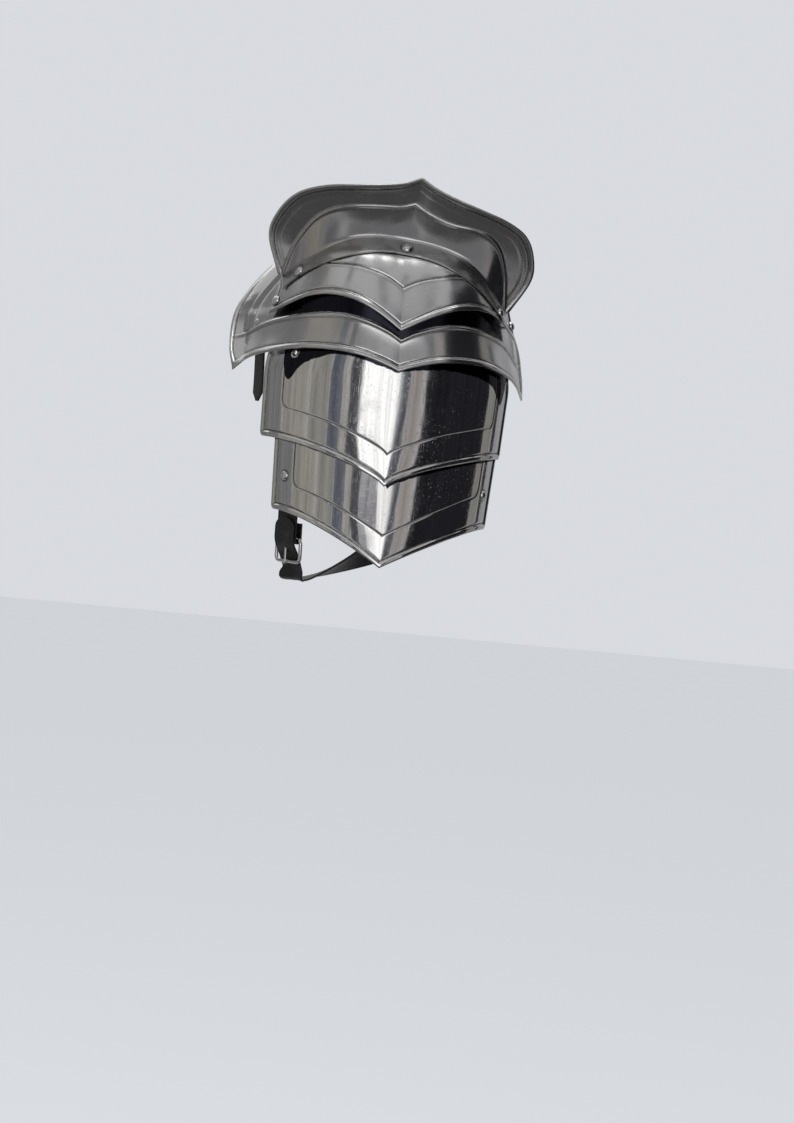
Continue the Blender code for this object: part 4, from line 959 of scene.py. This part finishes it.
domed, flat = (rivets["head"], rivets["dome"]), (rivets["flatHead"], rivets["flatDome"])
large = (rivets["largeHead"], rivets["largeDome"])
shoulderRows, armRows = [], []
upperTop, lowerTop = upper["tip"] + upper["height"], lower["tip"] + lower["height"]
upperRivet, lowerRivet = upperTop - rivets["upperDrop"], lower["tip"] + rivets["lowerRise"]
for tag, a in (("centre", 0), ("rear", -rivets["hauteRear"]), ("front", rivets["hauteFront"])):
    spot = at(hauteSpot, a, rivets["hauteStation"]), outOf(hauteSpot, a, rivets["hauteStation"])
    shoulderRows += rivetRows("haute_rivet_" + tag, *spot, *large)
for tag, side in (("rear", -1), ("front", 1)):
    shoulderRows += rivetRows("pivot_rivet_" + tag, *pivotSpot(side), *domed)
    spot = onArm(upperFace, upperRelief, side * rivets["upperShare"], upperRivet)
    armRows += rivetRows("upper_rivet_" + tag, *spot, *flat)
    spot = onArm(lowerFace, lowerRelief, side * rivets["lowerShare"], lowerRivet)
    armRows += rivetRows("lower_rivet_" + tag, *spot, *domed)
hangZ = wideHeight("ridge", rivets["hangingShare"]) + rivets["hangingRise"]
hangPlace, hangOut = onSkin(wideFace, wideRelief, -rivets["hangingShare"], hangZ)
armRows += rivetRows("hanging_rivet", hangPlace, hangOut, *flat, sink=rivets["hangingSink"])


def ringRound(plate, rows):
    # painted shade: a dark ring round each domed head, where its shadow falls on the plate
    count = len(plate.data.vertices)
    places = np.empty(count * 3)
    plate.data.vertices.foreach_get("co", places)
    grimeAndShade = np.empty(count)
    layer = plate.data.attributes["grimeAndShade"].data
    layer.foreach_get("value", grimeAndShade)
    for centre, axis, size, kind in rows:
        if kind == 0 and size[0] > rivets["flatHead"]:
            away = places.reshape(-1, 3) - centre
            sideways = np.linalg.norm(away - np.outer(away @ axis, axis), axis=1)
            near = hump(sideways - size[0] * rivets["shadeRing"], rivets["shadeRingWidth"])
            near = near * (np.abs(away @ axis) < rivets["shadeReach"])
            grimeAndShade = np.maximum(grimeAndShade, near)
    layer.foreach_set("value", grimeAndShade)


for plate, rows in ((hautePlate, shoulderRows), (capPlate, shoulderRows), (lowerPlate, armRows)):
    ringRound(plate, rows)
rivetShape = rivetTree()
shoulderRivets = runTree(markedPoints("shoulderRivets", shoulderRows), rivetShape, {"Material": rivetSteel})
armRivets = runTree(markedPoints("armRivets", armRows), rivetShape, {"Material": rivetSteel})
print("rivets made:", len(shoulderRivets.data.polygons) + len(armRivets.data.polygons), "faces")


# Leathers, straps and buckle

leathers = {"thickness": 2 * mm, "gap": 0.35 * mm, "seat": 1.8 * mm, "stripWidth": 20 * mm, "stripEnd": 9 * mm,
            "strapWidth": 25 * mm, "edgeGroove": 0.14 * mm, "groovePlace": 2.6 * mm, "grooveWidth": 0.5 * mm,
            "creaseDepth": 0.22 * mm, "creaseWidth": 1.1 * mm, "frontTail": 10 * mm, "frontLead": 11 * mm,
            "hangingLength": 71 * mm, "hangingWidth": 17 * mm, "hangingCorner": 7.1 * mm, "cornerCut": 0.9, "steps": 6}
buckle = {"drop": 54 * mm, "wire": 1.6 * mm, "tongue": 1.1 * mm, "length": 19 * mm, "slack": 1.5 * mm,
          "corner": 4 * mm, "tail": 19 * mm, "return": 14 * mm, "tongueTip": 2.4 * mm, "clearance": 0.3 * mm}


def throughPoints(points, steps):
    # a smooth line through the points, with so many steps from each to the next
    points = np.array(points, float)
    ends = np.concatenate([points[:1], points, points[-1:]])
    rows = []
    for p, q, r, s in zip(ends, ends[1:], ends[2:], ends[3:]):
        for t in np.arange(steps) / steps:
            rows.append(0.5 * (2 * q + (r - p) * t + (2 * p - 5 * q + 4 * r - s) * t * t
                               + (3 * q - 3 * r + s - p) * t ** 3))
    return np.array(rows + [points[-1]])


def strapPiece(name, points, widths, width, tip=0.0, tipCut=0.0, creases=()):
    # a strap with rounded edges, a pressed line along each edge, and creases at lengths in metres
    route = throughPoints(points, leathers["steps"])
    ahead = unit(np.gradient(route, axis=0))
    spread = throughPoints(widths, leathers["steps"])
    spread = unit(spread - ahead * np.sum(spread * ahead, 1)[:, None])
    out = np.cross(ahead, spread)
    length = lengthAlong(route)
    left = length[-1] - length
    half = np.full(len(route), width / 2)
    if tip:
        half *= np.sqrt(np.clip(1 - np.clip(1 - left / tip, 0, 0.97) ** 2, 0.02, 1))
    if tipCut:
        half -= np.clip(tipCut - left, 0, tipCut) * leathers["cornerCut"]
    thick = leathers["thickness"] / 2
    u = np.sin(np.linspace(-math.pi / 2, math.pi / 2, 25))[None, :]
    place = u * half[:, None]
    fromSide = half[:, None] - np.abs(place)
    rise = thick * np.sqrt(np.clip(1 - np.clip(1 - fromSide / thick, 0, 1) ** 2, 0, 1))
    rise = rise - leathers["edgeGroove"] * hump(fromSide - leathers["groovePlace"], leathers["grooveWidth"])
    fold = sum(hump(length - c, leathers["creaseWidth"]) for c in creases)[:, None] * leathers["creaseDepth"]
    middle = route[:, None, :] + spread[:, None, :] * place[..., None]
    top = middle + out[:, None, :] * (rise - fold * smooth(fromSide / thick))[..., None]
    under = middle - out[:, None, :] * (rise - 0.5 * fold * smooth(fromSide / thick))[..., None]
    ring = np.concatenate([top, under[:, -2:0:-1]], axis=1)
    piece = addMesh(name, ring, tubeFaces(*ring.shape[:2]), strapLeather)
    piece.data.shade_smooth()
    piece.data.set_sharp_from_angle(angle=math.radians(60))
    return piece, route, out


def bentWire(name, points, radius, closed, side, around=14):
    points = np.array(points)
    ahead = np.roll(points, -1, 0) - np.roll(points, 1, 0) if closed else np.gradient(points, axis=0)
    ahead = unit(ahead)
    first = unit(side - ahead * (ahead @ side)[:, None])
    second = np.cross(ahead, first)
    turn = np.arange(around) * 2 * math.pi / around
    ring = points[:, None] + radius * (first[:, None] * np.cos(turn)[None, :, None]
                                       + second[:, None] * np.sin(turn)[None, :, None])
    piece = addMesh(name, ring, tubeFaces(len(points), around, closed), rivetSteel)
    piece.data.shade_smooth()
    return piece


def meetWide(place, normal, side):
    a, z = np.meshgrid(side * np.linspace(0.6, 0.98, 160), place[2] + np.linspace(-20, 20, 160) * mm)
    away = skin(wideFace, wideRelief, a, z) - place
    away = away - normal * np.sum(away * normal, -1)[..., None]
    found = np.argmin(np.linalg.norm(away, axis=-1))
    return a.ravel()[found], z.ravel()[found]


innerSeat = sheetThickness + leathers["seat"] + leathers["thickness"] / 2
for tag, side in (("rear", -1), ("front", 1)):
    wideA, wideZ = meetWide(*pivotSpot(side), side)
    upA, lowA = side * rivets["upperShare"], side * rivets["lowerShare"]
    marks = [(wideFace, wideA, wideZ + leathers["stripEnd"]), (wideFace, wideA, wideZ),
             (upperFace, upA, upperTop + mm), (upperFace, upA, upperRivet),
             (upperFace, mix(upA, lowA, 0.5), mix(upperRivet, lowerTop, 0.55)), (lowerFace, lowA, lowerTop + mm),
             (lowerFace, lowA, mix(lowerTop, lowerRivet, 0.5)), (lowerFace, lowA, lowerRivet),
             (lowerFace, lowA, lowerRivet - leathers["stripEnd"])]
    piece, _, _ = strapPiece(tag + "Leather", [at(*mark) - outOf(*mark) * innerSeat for mark in marks],
                             [acrossOf(*mark) for mark in marks], leathers["stripWidth"],
                             creases=(0.03, 0.052, 0.09, 0.118))
    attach(piece, "arm")
    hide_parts(tag + "_leather")

strapInset = sheetThickness + leathers["seat"] + leathers["thickness"] * 1.5 + leathers["gap"]
rearMark, frontMark = (lowerFace, -rivets["lowerShare"], lowerRivet), (lowerFace, rivets["lowerShare"], lowerRivet)
rearEnd, frontEnd = at(*rearMark), at(*frontMark)
outward, sideways = outOf(*rearMark), acrossOf(*rearMark)
downward = unit(at(*rearMark[:2], lowerRivet - mm) - rearEnd)
hangPoint = rearEnd - outward * strapInset
layer = buckle["wire"] + leathers["gap"] + leathers["thickness"] / 2
barPoint = hangPoint + downward * buckle["drop"] - outward * layer


def nearBar(along, lift):
    return barPoint + downward * along + outward * lift


shortRoute = [hangPoint - downward * leathers["stripEnd"], hangPoint, nearBar(-buckle["drop"] * 0.5, layer)]
shortRoute += [nearBar(layer * math.sin(q), layer * math.cos(q)) for q in np.linspace(0, math.pi, 7)]
shortRoute += [nearBar(-buckle["return"], -layer)]
buckleStrap, _, _ = strapPiece("buckleStrap", shortRoute, [sideways] * len(shortRoute), leathers["strapWidth"],
                               creases=(0.02, 0.038, 0.055))

corner, side = buckle["corner"], leathers["strapWidth"] / 2 + buckle["slack"] + buckle["wire"] - buckle["corner"]
ring = []
for quarter, (along, across) in enumerate(((buckle["length"] - corner, side), (corner, side), (corner, -side),
                                           (buckle["length"] - corner, -side))):
    for k in range(9):
        q = math.pi / 2 * (quarter + k / 8)
        ring.append(nearBar(along + corner * math.cos(q), 0) + sideways * (across + corner * math.sin(q)))
buckleFrame = bentWire("buckleFrame", ring, buckle["wire"], True, outward)
loop = buckle["wire"] + leathers["gap"] + buckle["tongue"]
pin = [nearBar(loop * math.sin(q), loop * math.cos(q)) for q in np.linspace(-1.5 * math.pi, 0, 22)]
pin += [nearBar(buckle["length"] * 0.4, loop), nearBar(buckle["length"], loop),
        nearBar(buckle["length"] + buckle["tongueTip"], loop)]
buckleTongue = bentWire("buckleTongue", pin, buckle["tongue"], False, sideways)

strapRoute = (  # millimetres from the midpoint between the lower rivets, then the way the strap is wide
    (80, 30, -6, 0, 0, 1), (64, 54, -22, 0, 0, 1), (38, 69, -41, 0, -0.1, 1), (8, 71, -59, 0.1, -0.4, 0.9),
    (-20, 62, -73, 0.3, -0.7, 0.6), (-50, 38, -84, 0.6, -0.75, 0.25), (-68, 18, -87, 0.75, -0.65, 0))
frontAcross, frontSeat = acrossOf(*frontMark), frontEnd - outOf(*frontMark) * strapInset
upright = unit(at(*frontMark[:2], lowerRivet + mm) - frontEnd)
between = (frontEnd + rearEnd) / 2
longRoute = [frontSeat + frontAcross * along for along in (-leathers["frontTail"], 0, leathers["frontLead"])]
longRoute += [between + np.array(row[:3]) * mm for row in strapRoute]
longWidths = [upright] * 3 + [np.array(row[3:], float) for row in strapRoute]
over, far = layer + leathers["thickness"] + leathers["gap"] + buckle["clearance"], buckle["length"]
# the strap comes up through the frame, over the bar and down on the short strap
for along, lift in ((far + 7 * mm, -layer - 3 * mm), (far, -layer - buckle["clearance"]), (far * 0.62, over * 0.02),
                    (far * 0.26, over * 0.72), (-mm, over), (-6 * mm, over), (-buckle["tail"], over)):
    longRoute.append(nearBar(along, lift))
    longWidths.append(sideways)
armStrap, strapLine, strapOut = strapPiece("armStrap", longRoute, longWidths, leathers["strapWidth"],
                                           tip=9 * mm, creases=(0.05, 0.11, 0.16, 0.196, 0.222))

hangTop = hangPlace - hangOut * innerSeat
hangAcross = acrossOf(wideFace, -rivets["hangingShare"], hangZ)
fall, sway = (0, 0.1, 0.27, 0.62, 0.9, 1), (0, 0, 0.022, 0.044, 0.055, 0.055)  # shares of its length
hangRoute = [hangTop + np.array([s * leathers["hangingLength"], 0, 4 * mm - f * leathers["hangingLength"]])
             for f, s in zip(fall, sway)]
hangingStrap, _, _ = strapPiece("hangingStrap", hangRoute, [hangAcross] * len(hangRoute), leathers["hangingWidth"],
                                tipCut=leathers["hangingCorner"], creases=(0.012, 0.03))


def holeTree():
    # each strap hole is a dark plug through the strap, painted shade in place of the open hole
    tree, given, made = treeFor("strapHoles", [
        ("Sides", "NodeSocketInt", 20), ("Radius", "NodeSocketFloat", 1.5 * mm),
        ("Depth", "NodeSocketFloat", 2.12 * mm), ("Material", "NodeSocketMaterial", None)])
    plugSizes = {"Vertices": given["Sides"], "Radius": given["Radius"], "Depth": given["Depth"]}
    plug = addNode(tree, "GeometryNodeMeshCylinder", plugSizes)
    return finishTree(tree, given, made, copiesOf(tree, given, plug.outputs["Mesh"]))


strapLength = lengthAlong(strapLine)
holePlaces = [11 * mm, 20 * mm, 52 * mm, 63 * mm, 74 * mm, 85 * mm]  # from the strap's end
holeSpots = [int(np.argmin(np.abs(strapLength - (strapLength[-1] - place)))) for place in holePlaces]
holeShade = blackLeather("holeShade", worn=0.1)
strapHoles = runTree(markedPoints("strapHoles", [(strapLine[i], strapOut[i], (1, 1, 1), 0) for i in holeSpots]),
                     holeTree(), {"Material": holeShade})
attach(strapHoles, "arm")
for piece, node, slot in (
        (armStrap, "arm_strap", "black_leather"), (buckleStrap, "buckle_strap", "black_leather"),
        (hangingStrap, "hanging_strap", "black_leather"), (buckleFrame, "buckle_frame", "rivet_steel"),
        (buckleTongue, "buckle_tongue", "rivet_steel")):
    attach(piece, "arm")
    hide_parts(node)
print("leathers, straps and buckle made")

for piece, body, nodes, slot in (
        (capPlate, "shoulder", ["cap_lame"], "plate_steel"), (hautePlate, "shoulder", ["haute_piece"], "plate_steel"),
        (widePlate, "arm", ["wide_lame"], "plate_steel"), (upperPlate, "arm", ["upper_arm_lame"], "plate_steel"),
        (lowerPlate, "arm", ["lower_arm_lame"], "plate_steel"),
        (shoulderRivets, "shoulder", ["haute_rivet_centre", "haute_rivet_rear", "haute_rivet_front",
                                      "pivot_rivet_rear", "pivot_rivet_front"], "rivet_steel"),
        (armRivets, "arm", ["upper_rivet_rear", "upper_rivet_front", "lower_rivet_rear", "lower_rivet_front",
                            "hanging_rivet"], "rivet_steel")):
    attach(piece, body)
    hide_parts(*nodes)


# Studio: floor, soft lights, and white and dark cards for the plates to mirror

studio = {"streaks": 0.4, "floorHeight": -1.3, "floorSize": 16.0, "cardDistance": 3.2,
          "backdrop": (0.80, 0.82, 0.86, 1), "backdropStrength": 0.86, "surround": (0.50, 0.50, 0.51, 1)}


def plainMaterial(name, colour, strength, streaks=0.0):
    material, tree, shader = newMaterial(name)
    shader.inputs["Base Color"].default_value = (0, 0, 0, 1) if streaks else (*colour, 1)
    shader.inputs["Roughness"].default_value = 0.8
    shader.inputs["Specular IOR Level"].default_value = 0
    shader.inputs["Emission Strength"].default_value = strength
    shader.inputs["Emission Color"].default_value = (*colour, 1)
    if streaks:
        place = addNode(tree, "ShaderNodeTexCoord").outputs["Object"]
        lines = noise(tree, stretched(tree, place, (9, 9, 0.35)), 1, 4, 0.7)
        dim = [c * (1 - streaks) for c in colour] + [1]
        lit = [min(c * (1 + streaks * 0.5), 1) for c in colour] + [1]
        feed(tree, shader, EmissionColor=blended(tree, ranged(tree, lines, 0.36, 0.64, 0, 1), dim, lit))
    return material


def card(name, fromAzimuth, toAzimuth, low, high, colour, strength):
    # azimuth 0 is straight out from the shoulder and grows towards the wearer's front
    count = 9
    e, a = np.radians(np.meshgrid(np.linspace(low, high, count), np.linspace(fromAzimuth, toAzimuth, count),
                                  indexing="ij"))
    verts = point(np.sin(a) * np.cos(e), -np.cos(a) * np.cos(e), np.sin(e)) * studio["cardDistance"]
    faces = [(k, k + 1, k + count + 1, k + count) for k in range(count * (count - 1)) if (k + 1) % count]
    made = addMesh(name, verts, faces, plainMaterial(name, colour, strength, studio["streaks"]))
    made.visible_camera = made.visible_shadow = made.visible_diffuse = False
    return made


cards = [
    # name, azimuth from and to, elevation low and high, colour, strength
    ("windowCard", -23, 14.5, -8.8, 14, (1.0, 0.995, 0.98), 1.7),
    ("windowFoot", -9, 14.5, -14, -9, (1.0, 0.995, 0.98), 1.4),
    ("sillCard", -23, -9.5, -15, -9, (0.30, 0.305, 0.33), 1.0),
    ("lintelCard", -23, 14.5, 15, 30, (0.36, 0.36, 0.37), 1.0),
    ("fadeOne", 15, 17, -16, 30, (0.62, 0.63, 0.65), 1.0),
    ("fadeTwo", 17.2, 19.2, -16, 30, (0.30, 0.31, 0.33), 1.0),
    ("coolCard", 19.4, 25.5, -16, 30, (0.12, 0.125, 0.145), 1.0),
    ("warmCard", 26.5, 34.5, -33, 30, (0.42, 0.385, 0.37), 1.0),
    ("blackCard", 36.5, 98, -35, 40, (0.018, 0.018, 0.022), 1.0),
    ("frontGrey", 98.5, 112, -35, 34, (0.30, 0.29, 0.27), 1.0),
    ("edgeCard", 113, 120, -40, 40, (0.04, 0.04, 0.045), 1.0),
    ("frontLight", 121, 150, -40, 30, (0.40, 0.40, 0.42), 1.0),
    ("mottledCard", -31, -24, -20, 30, (0.08, 0.08, 0.09), 1.0),
    ("stripCard", -35, -32, -33, 40, (0.50, 0.48, 0.43), 1.0),
    ("blueCard", -47, -36, -33, 30, (0.14, 0.15, 0.18), 1.0),
    ("greyCard", -66, -48, -33, 30, (0.33, 0.32, 0.295), 1.0),
    ("beigeCard", -95, -67, -33, 35, (0.38, 0.36, 0.33), 1.0),
    ("rearGrey", -140, -96, -36, 40, (0.22, 0.22, 0.225), 1.0),
    ("lowWall", -23, 31, -38, -16, (0.26, 0.26, 0.275), 1.0),
    ("darkWall", -130, 130, -89, -39, (0.11, 0.107, 0.112), 1.0),
    ("ceilingStrip", -70, 2, 69, 78, (1.0, 1.0, 1.0), 3.0),
    ("capGlow", 30, 59, 66.5, 76, (1.0, 1.0, 1.0), 3.0),
    ("glowBridge", 2.2, 29.8, 72.8, 80, (1.0, 1.0, 1.0), 3.0),
    ("farStrip", 60, 230, 70, 84, (1.0, 1.0, 1.0), 4.5),
    ("backStrip", 140, 235, 22, 44, (1.0, 1.0, 1.0), 1.5),
    ("ribOne", -56, -46, 37, 68, (0.27, 0.27, 0.28), 1.0),
    ("ribTwo", 8, 17, 31, 56, (0.30, 0.30, 0.31), 1.0),
    ("roofShade", 44, 80, 41, 66, (0.15, 0.15, 0.16), 1.0),
]
for row in cards:
    card(*row)

floor = addMesh("floor", [(x * studio["floorSize"], y * studio["floorSize"], studio["floorHeight"])
                          for x, y in ((-1, -1), (1, -1), (1, 1), (-1, 1))], [(0, 1, 2, 3)],
                plainMaterial("paleFloor", (0.66, 0.68, 0.71), 0.45))
floor.visible_glossy = False


def softLight(name, place, size, power):
    data = bpy.data.lights.new(name, "AREA")
    data.size, data.energy, data.shape = size, power, "SQUARE"
    light = bpy.data.objects.new(name, data)
    light.location = place
    light.rotation_euler = (Vector((0, 0, -0.15)) - Vector(place)).to_track_quat("-Z", "Y").to_euler()
    light.visible_camera = light.visible_glossy = False
    bpy.context.scene.collection.objects.link(light)


softLight("topLight", (-0.5, -1.3, 2.4), 1.6, 26)
softLight("leftLight", (-2.6, -1.6, 1.2), 1.2, 20)

world = bpy.data.worlds.new("studioAir")
bpy.context.scene.world = world
world.use_nodes = True
air = world.node_tree
air.nodes.clear()
seen = addNode(air, "ShaderNodeBackground", {"Color": studio["backdrop"], "Strength": studio["backdropStrength"]})
felt = addNode(air, "ShaderNodeBackground", {"Color": studio["surround"]})
rays = addNode(air, "ShaderNodeLightPath")
choice = addNode(air, "ShaderNodeMixShader", {
    0: rays.outputs["Is Camera Ray"], 1: felt.outputs[0], 2: seen.outputs[0]})
addNode(air, "ShaderNodeOutputWorld", {"Surface": choice.outputs[0]})


# Camera: the photograph's angle, with the lowest lame's tip where the photograph has it

view = {"azimuth": -9, "elevation": -2, "roll": 5.8, "distance": 2.2, "metresPerPixel": 0.85 * mm,
        "lookAt": (0, -0.06, -0.15), "tipPixel": (378.9, 568.3), "imageSize": (794, 1123), "sensor": 36.0}


def placeCamera():
    a, e, r = (math.radians(view[k]) for k in ("azimuth", "elevation", "roll"))
    back = Vector((math.sin(a) * math.cos(e), -math.cos(a) * math.cos(e), math.sin(e)))
    level = Vector((0, 0, 1)).cross(back).normalized()
    upright = back.cross(level)
    right = level * math.cos(r) + upright * math.sin(r)
    up = upright * math.cos(r) - level * math.sin(r)
    data = bpy.data.cameras.new("photoCamera")
    width, height = view["imageSize"]
    focal = view["distance"] / view["metresPerPixel"]
    data.sensor_width, data.lens = view["sensor"], focal / height * view["sensor"]
    thing = bpy.data.objects.new("photoCamera", data)
    bpy.context.scene.collection.objects.link(thing)
    place = Vector(view["lookAt"]) + back * view["distance"]
    axes = Matrix((right, up, back)).transposed().to_4x4()
    thing.matrix_world = Matrix.Translation(place) @ axes
    tip = Vector(skin(lowerFace, lowerRelief, np.array(0.0), np.array(lower["tip"]))) - place
    depth = -tip.dot(back)
    across, above = focal * tip.dot(right) / depth, focal * tip.dot(up) / depth
    data.shift_x = (width / 2 + across - view["tipPixel"][0]) / height
    data.shift_y = (view["tipPixel"][1] - (height / 2 - above)) / height
    bpy.context.scene.camera = thing


placeCamera()
bpy.context.scene.view_settings.view_transform = "Standard"
print("studio and camera set")
